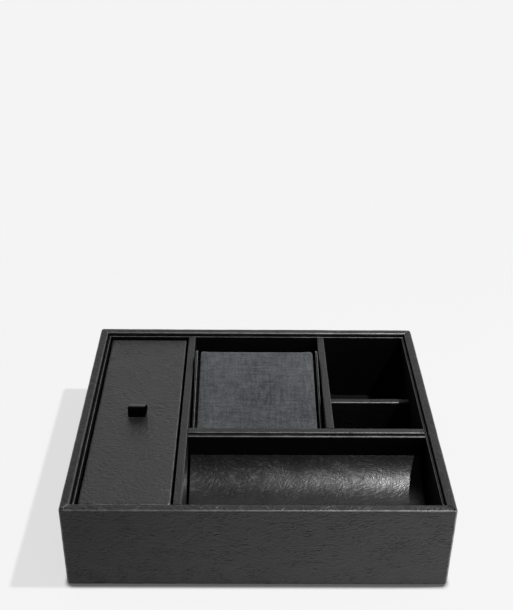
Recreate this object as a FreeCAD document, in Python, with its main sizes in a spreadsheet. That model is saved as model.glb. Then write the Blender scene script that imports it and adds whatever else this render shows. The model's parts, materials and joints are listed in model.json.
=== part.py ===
"""Valet tray box: a leather-wrapped board tray with a lift-off lid, a watch pad and a phone slot.

Millimetres. The origin is the centre of the underside, +X to the right, +Y to the back, +Z up.
Every size below is typed into a spreadsheet, and every solid is driven by that sheet.
"""
import FreeCAD, Part
import math
import os
import Sketcher

DRIVING_SIZES = [
    # casing
    ("case_width", 190.0),          # outside, left to right
    ("case_depth", 161.0),          # outside, front to back
    ("case_height", 50.5),          # table to rim
    ("wall_board", 3.0),            # board inside each wall
    ("leather", 0.8),               # wrapping on every board
    ("rim_round", 0.9),             # rounding of the wrapped rim
    ("corner_round", 1.6),          # rounding of the upright outer corners
    ("foot_round", 1.1),            # rounding where the wrapping turns under
    ("base_board", 3.0),
    ("felt_pad", 0.8),              # felt under the base
    ("felt_inset", 1.6),
    # linings
    ("floor_card", 1.6),            # lined card on the floor of each compartment
    ("liner_card", 1.05),           # lined card against each wall
    ("liner_gap", 0.7),            # shadow gap between wall and liner
    ("rim_step", 1.8),              # liners and dividers end this far below the rim
    # dividers
    ("divider_board", 2.6),
    ("divider_round", 0.7),
    ("middle_bay_width", 73.8),     # clear width between the long and the short divider
    ("low_divider_height", 33.5),   # table to its top
    ("rear_cell_depth", 41.65),
    # front tray
    ("tray_depth", 51.9),           # front liner to the tray's rear wall
    ("tray_wall_card", 2.1),
    ("tray_crack", 1.25),            # between the tray's rear wall and the cross divider
    ("tray_card", 1.4),             # thickness of the hollow floor
    ("tray_end_gap", 1.2),          # between the hollow floor and what stands at its ends
    ("tray_side_fit", 0.15),        # between the hollow floor and the walls along it
    ("tray_low_height", 24.4),      # table to the lowest line of the hollow floor
    ("tray_edge_height", 36.3),     # table to its front and rear edges
    ("rib_board", 3.0),
    ("rib_end_inset", 14.0),        # from the floor's ends to the middle of the outer ribs
    # phone step
    ("phone_step_height", 31.0),    # table to where a phone stands
    ("phone_step_gap", 0.6),        # between the step and the watch pad
    # lid
    ("lid_gap", 1.3),               # all round
    ("lid_drop", 1.3),              # lid's top below the liners' tops
    ("lid_board", 3.0),
    ("lid_round", 1.1),
    ("lid_corner_round", 1.4),
    ("lid_lining", 0.6),
    ("ledge_board", 3.0),
    ("seat_gap", 0.2),              # under each loose piece
    # pull tab
    ("tab_width", 10.4),
    ("tab_height", 8.5),            # above the lid
    ("tab_setback", 4.2),           # the tab sits this far in front of the lid's middle
    ("ribbon", 0.6),
    ("ribbon_slack", 1.6),          # between the loop's two legs
    ("tab_tail", 8.0),              # glued under the lid's board
    ("slot_fit", 0.15),
    # watch pad
    ("pad_width", 71.2),            # over its end boards
    ("pad_depth", 62.5),
    ("pad_front_gap", 4.2),         # from the cross divider
    ("pad_front_height", 39.1),     # table to its top at the front
    ("pad_rear_height", 54.5),      # table to its top at the back
    ("pad_round", 3.0),
    ("pad_board", 2.5),
    ("suede", 1.0),
    ("end_board", 1.2),
    ("end_proud", 0.5),             # end boards stand this far out of the suede
    ("end_groove", 1.1),            # between the suede and each end board
]

doc = FreeCAD.newDocument("valet_box")
sheet = doc.addObject("Spreadsheet::Sheet", "Sizes")
for row, (alias, number) in enumerate(DRIVING_SIZES, start=1):
    sheet.set(f"A{row}", alias)
    sheet.set(f"B{row}", str(number))
    sheet.setAlias(f"B{row}", alias)
doc.recompute()


class Size:
    """A size kept as the sheet expression that drives the model and as its present number."""

    def __init__(self, text, number):
        self.text = text
        self.number = number

    def __add__(self, other):
        other = as_size(other)
        return Size(f"({self.text} + {other.text})", self.number + other.number)

    def __sub__(self, other):
        other = as_size(other)
        return Size(f"({self.text} - {other.text})", self.number - other.number)

    def __mul__(self, other):
        other = as_size(other)
        return Size(f"({self.text} * {other.text})", self.number * other.number)

    def __truediv__(self, other):
        other = as_size(other)
        return Size(f"({self.text} / {other.text})", self.number / other.number)

    def __neg__(self):
        return Size(f"(0 - {self.text})", -self.number)

    def root(self):
        """Square root."""
        return Size(f"sqrt({self.text})", math.sqrt(self.number))


def as_size(thing):
    """A plain number becomes a constant size."""
    return thing if isinstance(thing, Size) else Size(repr(float(thing)), float(thing))


def cell(alias):
    """The size in one cell of the sheet."""
    return Size(f"Sizes.{alias}", float(sheet.get(alias)))


ZERO = as_size(0)
ROOT_HALF = as_size(0.5).root()

# Heights above the table.
felt_top = cell("felt_pad")
base_top = felt_top + cell("base_board")
floor_top = base_top + cell("floor_card")
rim_top = cell("case_height")
liner_top = rim_top - cell("rim_step")

# Half sizes of the casing, from the outside inwards.
half_width = cell("case_width") / 2
half_depth = cell("case_depth") / 2
wall_thickness = cell("wall_board") + cell("leather") * 2
board_face = cell("leather") + cell("wall_board")
liner_inset = wall_thickness + cell("liner_gap")
room_inset = liner_inset + cell("liner_card")
room_right = half_width - room_inset
room_left = -room_right
room_back = half_depth - room_inset
room_front = -room_back

# Dividers.
divider = cell("divider_board") + cell("leather") * 2
bay_right = cell("middle_bay_width") / 2
bay_left = -bay_right
long_divider_left = bay_left - divider
short_divider_right = bay_right + divider
tray_back = room_front + cell("tray_depth")
tray_wall_back = tray_back + cell("tray_wall_card")
cross_divider_front = tray_wall_back + cell("tray_crack")
cross_divider_back = cross_divider_front + divider
low_divider_back = room_back - cell("rear_cell_depth")
low_divider_front = low_divider_back - divider

# Watch pad.
pad_front = cross_divider_back + cell("pad_front_gap")
pad_back = pad_front + cell("pad_depth")
pad_bottom = floor_top + cell("seat_gap")
pad_slope = (cell("pad_rear_height") - cell("pad_front_height")) / cell("pad_depth")
pad_slant = (pad_slope * pad_slope + 1).root()
pad_half_width = cell("pad_width") / 2
step_front = pad_back + cell("end_proud") + cell("phone_step_gap")

# Lid.
lid_top = liner_top - cell("lid_drop")
lid_cover_height = cell("leather") + cell("lid_board") + cell("lid_lining")
lid_bottom = lid_top - cell("leather") - cell("lid_board") - cell("lid_lining")
lid_left = room_left + cell("lid_gap")
lid_right = long_divider_left - cell("lid_gap")
lid_front = room_front + cell("lid_gap")
lid_back = room_back - cell("lid_gap")
tab_y = -cell("tab_setback")
tab_x = (lid_left + lid_right) / 2


def bind(thing, path, size):
    """Drive one property of a document object by a size."""
    thing.setExpression(path, size.text)


def place(thing, x=ZERO, y=ZERO, z=ZERO, turn=0.0):
    """Put a sub-part at x, y, z, turned about the upright axis by an angle in degrees."""
    upright = FreeCAD.Vector(0, 0, 1)
    here = FreeCAD.Vector(x.number, y.number, z.number)
    thing.Placement = FreeCAD.Placement(here, FreeCAD.Rotation(upright, turn))
    bind(thing, ".Placement.Base.x", x)
    bind(thing, ".Placement.Base.y", y)
    bind(thing, ".Placement.Base.z", z)


sub_parts = []


def keep(thing, label):
    """Name a finished sub-part and list it for export."""
    thing.Label = label
    sub_parts.append(thing)
    return thing


def block(name, x_span, y_span, z_span):
    """A Part::Box between three pairs of limits."""
    box = doc.addObject("Part::Box", name)
    bind(box, "Length", x_span[1] - x_span[0])
    bind(box, "Width", y_span[1] - y_span[0])
    bind(box, "Height", z_span[1] - z_span[0])
    place(box, x_span[0], y_span[0], z_span[0])
    return box


def board(label, x_span, y_span, z_span):
    """A flat board or card as a sub-part."""
    return keep(block(label, x_span, y_span, z_span), label)


def new_body(label):
    """An empty body, already listed as a sub-part."""
    body = doc.addObject("PartDesign::Body", label)
    return keep(body, label)


def vector(point):
    """A sketch point as a plain vector."""
    return FreeCAD.Vector(point[0].number, point[1].number, 0)


def anticlockwise(first, middle, last, leftward):
    """The arc through three points, always drawn anticlockwise, as a sketch stores it."""
    centre = Part.Circle(first, middle, last).Center
    circle = Part.Circle(centre, FreeCAD.Vector(0, 0, 1), centre.distanceToPoint(first))
    start, end = (first, last) if leftward else (last, first)
    angles = [math.atan2(point.y - centre.y, point.x - centre.x) for point in (start, end)]
    return Part.ArcOfCircle(circle, angles[0], angles[1])


def outline(body, role, name, corners, arcs=None):
    """A closed sketch on one of the body's own origin planes, with every corner pinned.

    arcs maps the index of a side to (its centre's second coordinate, the point half-way along it);
    other sides are straight.
    """
    arcs = arcs or {}
    plane = [feature for feature in body.Origin.OriginFeatures if feature.Role == role][0]
    sketch = body.newObject("Sketcher::SketchObject", name)
    sketch.AttachmentSupport = [(plane, "")]
    sketch.MapMode = "FlatFace"
    count = len(corners)
    ends = []
    for side in range(count):
        first = vector(corners[side])
        last = vector(corners[(side + 1) % count])
        if side in arcs:
            middle = vector(arcs[side][1])
            leftward = (middle - first).cross(last - middle).z > 0
            sketch.addGeometry(anticlockwise(first, middle, last, leftward), False)
            ends.append((1, 2) if leftward else (2, 1))
        else:
            sketch.addGeometry(Part.LineSegment(first, last), False)
            ends.append((1, 2))
    for side in range(count):
        following = (side + 1) % count
        joint = Sketcher.Constraint("Coincident", side, ends[side][1], following, ends[following][0])
        sketch.addConstraint(joint)
    for side in range(count):
        for kind, size in zip(("DistanceX", "DistanceY"), corners[side]):
            pin = Sketcher.Constraint(kind, -1, 1, side, ends[side][0], size.number)
            bind(sketch, f"Constraints[{sketch.addConstraint(pin)}]", size)
    for side, (centre, _) in arcs.items():
        hub = Sketcher.Constraint("DistanceY", -1, 1, side, 3, centre.number)
        bind(sketch, f"Constraints[{sketch.addConstraint(hub)}]", centre)
    return sketch


def pad(body, sketch, length, symmetric=False):
    """Extrude a sketch along its normal, or both ways for half the length each."""
    feature = body.newObject("PartDesign::Pad", sketch.Name + "_pad")
    feature.Profile = sketch
    feature.SideType = "Symmetric" if symmetric else "One side"
    bind(feature, "Length", length)
    doc.recompute()
    return feature


def pocket(body, sketch, length, symmetric=False, upwards=False):
    """Cut a sketch out of the body, and insist that something was cut."""
    before = body.Shape.Volume
    feature = body.newObject("PartDesign::Pocket", sketch.Name + "_pocket")
    feature.Profile = sketch
    feature.SideType = "Symmetric" if symmetric else "One side"
    feature.Reversed = upwards
    bind(feature, "Length", length)
    doc.recompute()
    if body.Shape.Volume > before - 1e-6:
        raise RuntimeError(f"{feature.Name} removes nothing")
    return feature


def fillet(body, radius, wanted):
    """Round the edges of the body that the test wanted(edge) accepts."""
    base = body.Tip
    names = [f"Edge{n}" for n, edge in enumerate(base.Shape.Edges, start=1) if wanted(edge)]
    feature = body.newObject("PartDesign::Fillet", f"{body.Name}_round")
    feature.Base = (base, names)
    bind(feature, "Radius", radius)
    doc.recompute()
    return feature


def lies_at(edge, **limits):
    """True if every end of the edge has the given x, y or z."""
    points = [vertex.Point for vertex in edge.Vertexes]
    return all(
        abs(getattr(point, axis) - size.number) < 1e-4 for point in points for axis, size in limits.items()
    )


# ---- Casing -------------------------------------------------------------------------------------


def wall_cover(label, length, x, y, turn):
    """Leather wrapped round one wall board: outside, over the rim, down the inside and under the foot.

    It is drawn with its outer face on local Y = 0 and its length along local X, mitred at both ends.
    """
    body = new_body(label)
    round_radius = cell("corner_round")
    mitre_start = round_radius * (as_size(1) - ROOT_HALF)
    tangent = length / 2 - round_radius
    round_end = length / 2 - mitre_start
    inner_end = length / 2 - wall_thickness
    half_turn = math.radians(22.5)
    bow_x = tangent + round_radius * math.sin(half_turn)
    bow_y = round_radius * (1 - math.cos(half_turn))
    plan = outline(
        body, "XY_Plane", f"{label}_plan",
        [(-tangent, ZERO), (tangent, ZERO), (round_end, mitre_start), (inner_end, wall_thickness),
         (-inner_end, wall_thickness), (-round_end, mitre_start)],
        arcs={1: (round_radius, (bow_x, bow_y)), 5: (round_radius, (-bow_x, bow_y))},
    )
    height = rim_top - felt_top
    pad(body, plan, height)

    def outside(edge):
        return all(vertex.Point.y < mitre_start.number + 1e-4 for vertex in edge.Vertexes)

    fillet(body, cell("rim_round"), lambda edge: lies_at(edge, z=height) and (
        outside(edge) or lies_at(edge, y=wall_thickness)))
    fillet(body, cell("foot_round"), lambda edge: lies_at(edge, z=ZERO) and outside(edge))
    skin = cell("leather")
    base_board = base_top - felt_top
    hollow = outline(
        body, "YZ_Plane", f"{label}_hollow",
        [(skin, skin), (skin, height - skin), (board_face, height - skin), (board_face, base_board),
         (wall_thickness + skin, base_board), (wall_thickness + skin, -skin), (board_face, -skin),
         (board_face, skin)],
    )
    pocket(body, hollow, length + skin, symmetric=True)
    place(body, x, y, felt_top, turn)


def casing():
    """Base, felt and the four wrapped walls."""
    felt = cell("felt_inset")
    board("base_pad", (felt - half_width, half_width - felt), (felt - half_depth, half_depth - felt),
          (ZERO, felt_top))
    core_right = half_width - board_face
    core_back = half_depth - board_face
    board("base_board", (-core_right, core_right), (-core_back, core_back), (felt_top, base_top))
    skin_right = half_width - cell("leather")
    skin_back = half_depth - cell("leather")
    core_span = (felt_top + cell("leather"), rim_top - cell("leather"))
    board("front_wall_board", (-skin_right, skin_right), (-skin_back, -core_back), core_span)
    board("back_wall_board", (-skin_right, skin_right), (core_back, skin_back), core_span)
    board("left_wall_board", (-skin_right, -core_right), (-core_back, core_back), core_span)
    board("right_wall_board", (core_right, skin_right), (-core_back, core_back), core_span)
    wall_cover("front_wall_cover", cell("case_width"), ZERO, -half_depth, 0)
    wall_cover("right_wall_cover", cell("case_depth"), half_width, ZERO, 90)
    wall_cover("back_wall_cover", cell("case_width"), ZERO, half_depth, 180)
    wall_cover("left_wall_cover", cell("case_depth"), -half_width, ZERO, -90)


def liners():
    """Lined cards that stand just inside the walls, on the base board."""
    span = (base_top, liner_top)
    outer_right = half_width - liner_inset
    outer_back = half_depth - liner_inset
    board("front_liner", (-outer_right, outer_right), (-outer_back, room_front), span)
    board("back_liner", (-outer_right, outer_right), (room_back, outer_back), span)
    board("left_liner", (-outer_right, room_left), (room_front, room_back), span)
    board("right_liner", (room_right, outer_right), (room_front, room_back), span)


# ---- Dividers -----------------------------------------------------------------------------------


def wrapped_divider(label, x_span, y_span, top, along_x):
    """An upright board and the leather folded over its top edge."""
    skin = cell("leather")
    if along_x:
        board(f"{label}_board", x_span, (y_span[0] + skin, y_span[1] - skin), (base_top, top - skin))
        length = x_span[1] - x_span[0]
    else:
        board(f"{label}_board", (x_span[0] + skin, x_span[1] - skin), y_span, (base_top, top - skin))
        length = y_span[1] - y_span[0]
    body = new_body(f"{label}_cover")
    half = divider / 2
    height = top - base_top
    fold = outline(
        body, "YZ_Plane" if along_x else "XZ_Plane", f"{label}_fold",
        [(-half, ZERO), (-half, height), (half, height), (half, ZERO), (half - skin, ZERO),
         (half - skin, height - skin), (skin - half, height - skin), (skin - half, ZERO)],
    )
    pad(body, fold, length, symmetric=True)
    side = "y" if along_x else "x"
    fillet(body, cell("divider_round"), lambda edge: lies_at(edge, z=height) and (
        lies_at(edge, **{side: half}) or lies_at(edge, **{side: -half})))
    place(body, (x_span[0] + x_span[1]) / 2, (y_span[0] + y_span[1]) / 2, base_top)


def dividers():
    """The two running front to back, the one across, and the low one between the two cells."""
    wrapped_divider("long_divider", (long_divider_left, bay_left), (room_front, room_back), liner_top, False)
    wrapped_divider("short_divider", (bay_right, short_divider_right), (cross_divider_back, room_back),
                    liner_top, False)
    wrapped_divider("cross_divider", (bay_left, room_right), (cross_divider_front, cross_divider_back),
                    liner_top, True)
    wrapped_divider("low_divider", (short_divider_right, room_right), (low_divider_front, low_divider_back),
                    cell("low_divider_height"), True)


def floors():
    """Lined cards on the base board, one in each compartment but the tray."""
    span = (base_top, floor_top)
    board("lid_box_floor", (room_left, long_divider_left), (room_front, room_back), span)
    board("pad_bay_floor", (bay_left, bay_right), (cross_divider_back, room_back), span)
    board("front_cell_floor", (short_divider_right, room_right), (cross_divider_back, low_divider_front), span)
    board("rear_cell_floor", (short_divider_right, room_right), (low_divider_back, room_back), span)


# ---- Front tray ---------------------------------------------------------------------------------

tray_half = cell("tray_depth") / 2 - cell("tray_side_fit")
tray_dip = cell("tray_edge_height") - cell("tray_low_height")
tray_radius = (tray_half * tray_half + tray_dip * tray_dip) / (tray_dip * 2)
tray_centre = cell("tray_low_height") + tray_radius
under_radius = tray_radius + cell("tray_card")
under_edge = tray_centre - (under_radius * under_radius - tray_half * tray_half).root()
tray_middle = room_front + cell("tray_depth") / 2


def hollow_floor():
    """The tray's floor, a card bent to a trough along X."""
    body = new_body("tray_floor")
    under_low = cell("tray_low_height") - cell("tray_card")
    section = outline(
        body, "YZ_Plane", "tray_floor_section",
        [(-tray_half, cell("tray_edge_height")), (tray_half, cell("tray_edge_height")),
         (tray_half, under_edge), (-tray_half, under_edge)],
        arcs={0: (tray_centre, (ZERO, cell("tray_low_height"))), 2: (tray_centre, (ZERO, under_low))},
    )
    pad(body, section, room_right - bay_left - cell("tray_end_gap") * 2, symmetric=True)
    place(body, (room_right + bay_left) / 2, tray_middle)


def tray_rib(label, x):
    """A board former on the base, hollowed to carry the tray's floor."""
    body = new_body(label)
    section = outline(
        body, "YZ_Plane", f"{label}_section",
        [(-tray_half, base_top), (-tray_half, under_edge), (tray_half, under_edge), (tray_half, base_top)],
        arcs={1: (tray_centre, (ZERO, cell("tray_low_height") - cell("tray_card")))},
    )
    pad(body, section, cell("rib_board"), symmetric=True)
    place(body, x, tray_middle)


def tray():
    """The rear wall, the hollow floor and the three ribs under it."""
    board("tray_rear_wall", (bay_left, room_right), (tray_back, tray_wall_back), (base_top, liner_top))
    hollow_floor()
    floor_left = bay_left + cell("tray_end_gap")
    floor_right = room_right - cell("tray_end_gap")
    tray_rib("tray_rib_left", floor_left + cell("rib_end_inset"))
    tray_rib("tray_rib_middle", (floor_left + floor_right) / 2)
    tray_rib("tray_rib_right", floor_right - cell("rib_end_inset"))


def phone_step():
    """A block behind the watch pad, wrapped on its top and front, on which a phone stands."""
    skin = cell("leather")
    top = cell("phone_step_height")
    board("phone_step_block", (bay_left, bay_right), (step_front + skin, room_back), (floor_top, top - skin))
    body = new_body("phone_step_cover")
    section = outline(
        body, "YZ_Plane", "phone_step_section",
        [(ZERO, ZERO), (ZERO, top - floor_top), (room_back - step_front, top - floor_top),
         (room_back - step_front, top - floor_top - skin), (skin, top - floor_top - skin), (skin, ZERO)],
    )
    pad(body, section, bay_right - bay_left, symmetric=True)
    fillet(body, cell("divider_round"), lambda edge: lies_at(edge, y=ZERO, z=top - floor_top))
    place(body, ZERO, step_front, floor_top)


# ---- Lid ----------------------------------------------------------------------------------------


def centred(half_x, half_y, y=ZERO):
    """The corners of a rectangle about local X = 0 and the given Y."""
    return [(-half_x, y - half_y), (half_x, y - half_y), (half_x, y + half_y), (-half_x, y + half_y)]


def lid():
    """Board, leather cover, lining and ribbon tab of the lift-off lid, and the ledges under it."""
    skin = cell("leather")
    half_x = (lid_right - lid_left) / 2
    half_y = (lid_back - lid_front) / 2
    inner_x = half_x - skin
    inner_y = half_y - skin
    slot_x = cell("tab_width") / 2 + cell("slot_fit")
    slot_y = cell("ribbon_slack") / 2 + cell("ribbon") + cell("slot_fit")

    cover = new_body("lid_cover")
    pad(cover, outline(cover, "XY_Plane", "lid_cover_plan", centred(half_x, half_y)), lid_cover_height)
    fillet(cover, cell("lid_corner_round"), lambda edge: abs(edge.Vertexes[0].Z - edge.Vertexes[-1].Z) > 1e-4)
    fillet(cover, cell("lid_round"), lambda edge: lies_at(edge, z=lid_cover_height))
    inside = outline(cover, "XY_Plane", "lid_cover_inside", centred(inner_x, inner_y))
    pocket(cover, inside, lid_cover_height - skin, upwards=True)
    slit = outline(cover, "XY_Plane", "lid_cover_slit", centred(slot_x, slot_y, tab_y))
    pocket(cover, slit, lid_cover_height + skin, upwards=True)
    place(cover, tab_x, ZERO, lid_bottom)

    core = new_body("lid_board")
    pad(core, outline(core, "XY_Plane", "lid_board_plan", centred(inner_x, inner_y)), cell("lid_board"))
    slit = outline(core, "XY_Plane", "lid_board_slit", centred(slot_x, slot_y, tab_y))
    pocket(core, slit, cell("lid_board") * 2, upwards=True)
    tail_y = cell("tab_tail") + cell("slot_fit")
    recess = outline(core, "XY_Plane", "lid_board_recess", centred(slot_x, tail_y, tab_y))
    pocket(core, recess, cell("ribbon"), upwards=True)
    place(core, tab_x, ZERO, lid_bottom + cell("lid_lining"))

    board("lid_lining", (lid_left + skin, lid_right - skin), (lid_front + skin, lid_back - skin),
          (lid_bottom, lid_bottom + cell("lid_lining")))
    pull_tab()

    ledge_top = lid_bottom - cell("seat_gap")
    across = (room_left, long_divider_left)
    board("front_lid_ledge", across, (room_front, room_front + cell("ledge_board")), (floor_top, ledge_top))
    board("back_lid_ledge", across, (room_back - cell("ledge_board"), room_back), (floor_top, ledge_top))


def pull_tab():
    """A ribbon loop: two legs through the lid, a round top, and tails glued under the board."""
    body = new_body("pull_tab")
    ribbon = cell("ribbon")
    inner = cell("ribbon_slack") / 2
    outer = inner + ribbon
    tail = cell("tab_tail")
    crown = lid_cover_height - cell("lid_lining") + cell("tab_height")
    spring = crown - outer
    section = outline(
        body, "YZ_Plane", "pull_tab_section",
        [(-tail, ZERO), (-tail, ribbon), (-outer, ribbon), (-outer, spring), (outer, spring),
         (outer, ribbon), (tail, ribbon), (tail, ZERO), (inner, ZERO), (inner, spring),
         (-inner, spring), (-inner, ZERO)],
        arcs={3: (spring, (ZERO, crown)), 9: (spring, (ZERO, crown - ribbon))},
    )
    pad(body, section, cell("tab_width"), symmetric=True)
    place(body, tab_x, tab_y, lid_bottom + cell("lid_lining"))


# ---- Watch pad ----------------------------------------------------------------------------------


def pad_height(y):
    """Height of the suede's sloping top above the pad's underside, at local y from its front."""
    return cell("pad_front_height") + pad_slope * y - pad_bottom


def wedge_corners(front, back, drop):
    """Side view of the wedge between two local depths, its top lowered square to the slope by drop."""
    front_top = pad_height(front) - pad_slant * drop
    back_top = pad_height(back) - pad_slant * drop
    return [(front, ZERO), (front, front_top), (back, back_top), (back, ZERO)]


def round_top(body, front, back, radius, drop):
    """Round the wedge's two upper corners."""
    front_top = pad_height(front) - pad_slant * drop
    back_top = pad_height(back) - pad_slant * drop
    fillet(body, radius, lambda edge: lies_at(edge, y=front, z=front_top) or lies_at(edge, y=back, z=back_top))


def watch_pad():
    """A foam wedge on a board, wrapped in suede front, top and back, with a board on each end."""
    skin = cell("suede")
    depth = cell("pad_depth")
    end_inner = pad_half_width - cell("end_board")
    suede_half = end_inner - cell("end_groove")

    board("pad_board", (-end_inner, end_inner), (pad_front + skin, pad_back - skin),
          (pad_bottom, pad_bottom + cell("pad_board")))

    foam = new_body("pad_foam")
    side = wedge_corners(skin, depth - skin, skin)
    side[0] = (skin, cell("pad_board"))
    side[3] = (depth - skin, cell("pad_board"))
    pad(foam, outline(foam, "YZ_Plane", "pad_foam_side", side), end_inner * 2, symmetric=True)
    round_top(foam, skin, depth - skin, cell("pad_round") - skin, skin)
    place(foam, ZERO, pad_front, pad_bottom)

    suede = new_body("pad_suede")
    outer = wedge_corners(ZERO, depth, ZERO)
    inner = wedge_corners(skin, depth - skin, skin)
    pad(suede, outline(suede, "YZ_Plane", "pad_suede_side", outer + inner[::-1]), suede_half * 2, symmetric=True)
    round_top(suede, ZERO, depth, cell("pad_round"), ZERO)
    round_top(suede, skin, depth - skin, cell("pad_round") - skin, skin)
    place(suede, ZERO, pad_front, pad_bottom)

    proud = cell("end_proud")
    end_side = wedge_corners(-proud, depth + proud, -proud)
    for label, centre in (("pad_left_end", -pad_half_width + cell("end_board") / 2),
                          ("pad_right_end", pad_half_width - cell("end_board") / 2)):
        end = new_body(label)
        pad(end, outline(end, "YZ_Plane", f"{label}_side", end_side), cell("end_board"), symmetric=True)
        round_top(end, -proud, depth + proud, cell("pad_round"), -proud)
        place(end, centre, pad_front, pad_bottom)


casing()
liners()
dividers()
floors()
tray()
phone_step()
lid()
watch_pad()
doc.recompute()

for thing in doc.Objects:
    if "Invalid" in thing.State or "Error" in thing.State:
        raise RuntimeError(f"{thing.Name} failed: {thing.State}")
for sub_part in sub_parts:
    if sub_part.Shape.isNull() or not sub_part.Shape.isValid():
        raise RuntimeError(f"{sub_part.Label} has no valid shape")

os.makedirs("parts", exist_ok=True)
for sub_part in sub_parts:
    sub_part.Shape.exportStep(f"parts/{sub_part.Label}.step")
    box = sub_part.Shape.BoundBox
    print(f"{sub_part.Label:20s} {sub_part.Shape.Volume:10.1f} mm3, {len(sub_part.Shape.Solids)} solid, "
          f"x {box.XMin:.2f}..{box.XMax:.2f} y {box.YMin:.2f}..{box.YMax:.2f} z {box.ZMin:.2f}..{box.ZMax:.2f}")
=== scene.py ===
"""Dresses the valet tray box: wrapped casing, linings, dividers, tray, lid, watch pad and studio.

Metres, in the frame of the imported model: +X to the right, +Y to the back, +Z up.
"""

import json
import logging
import math
from dataclasses import dataclass
from enum import Enum
from itertools import chain, product
from typing import Optional, Sequence, Union

import bmesh
import bpy
import numpy as np
from mathutils import Matrix, Vector, noise


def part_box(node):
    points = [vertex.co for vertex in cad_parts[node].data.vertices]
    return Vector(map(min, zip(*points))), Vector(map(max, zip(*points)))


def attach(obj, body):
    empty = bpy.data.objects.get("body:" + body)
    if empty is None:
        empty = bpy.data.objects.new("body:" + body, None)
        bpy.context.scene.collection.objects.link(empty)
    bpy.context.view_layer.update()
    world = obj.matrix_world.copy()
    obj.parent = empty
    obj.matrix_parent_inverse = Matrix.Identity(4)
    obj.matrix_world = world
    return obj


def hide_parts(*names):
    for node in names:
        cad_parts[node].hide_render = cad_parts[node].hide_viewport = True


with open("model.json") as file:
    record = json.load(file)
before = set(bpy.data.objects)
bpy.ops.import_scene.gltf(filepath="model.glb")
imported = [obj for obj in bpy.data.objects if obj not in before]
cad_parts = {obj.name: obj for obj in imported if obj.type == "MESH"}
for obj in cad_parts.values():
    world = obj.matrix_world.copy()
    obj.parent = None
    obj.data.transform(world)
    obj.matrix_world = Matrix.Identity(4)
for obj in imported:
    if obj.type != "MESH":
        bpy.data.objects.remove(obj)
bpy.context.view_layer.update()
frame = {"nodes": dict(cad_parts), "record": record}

MM = 0.001
RIGHT_ANGLE = math.pi / 2
# How far one seed lies from the next in the noise.
SEED_STRIDE = (17.3, 9.1, 5.7)
# Points this near share one shading normal, and points this near to a line lie on it.
SAME_PLACE, ON_LINE = 0.004 * MM, 1e-7
# Normals shorter than this have no direction, and lengths below the other are rounding errors.
TINY, ROUNDING = 1e-14, 1e-9
# The greatest share of a box's side that one rounding may take.
ROUNDEST = 0.495
Piece = bpy.types.Object
Socket = bpy.types.NodeSocket
Value = Union[Socket, float, Sequence[float]]
Pair = tuple[float, float]
Triple = tuple[float, float, float]
Spot = tuple[Triple, Triple, float]

logging.basicConfig(level=logging.INFO, format="%(name)s: %(message)s")
log = logging.getLogger("valet_box")


# ---- Node wiring --------------------------------------------------------------------------------


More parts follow.
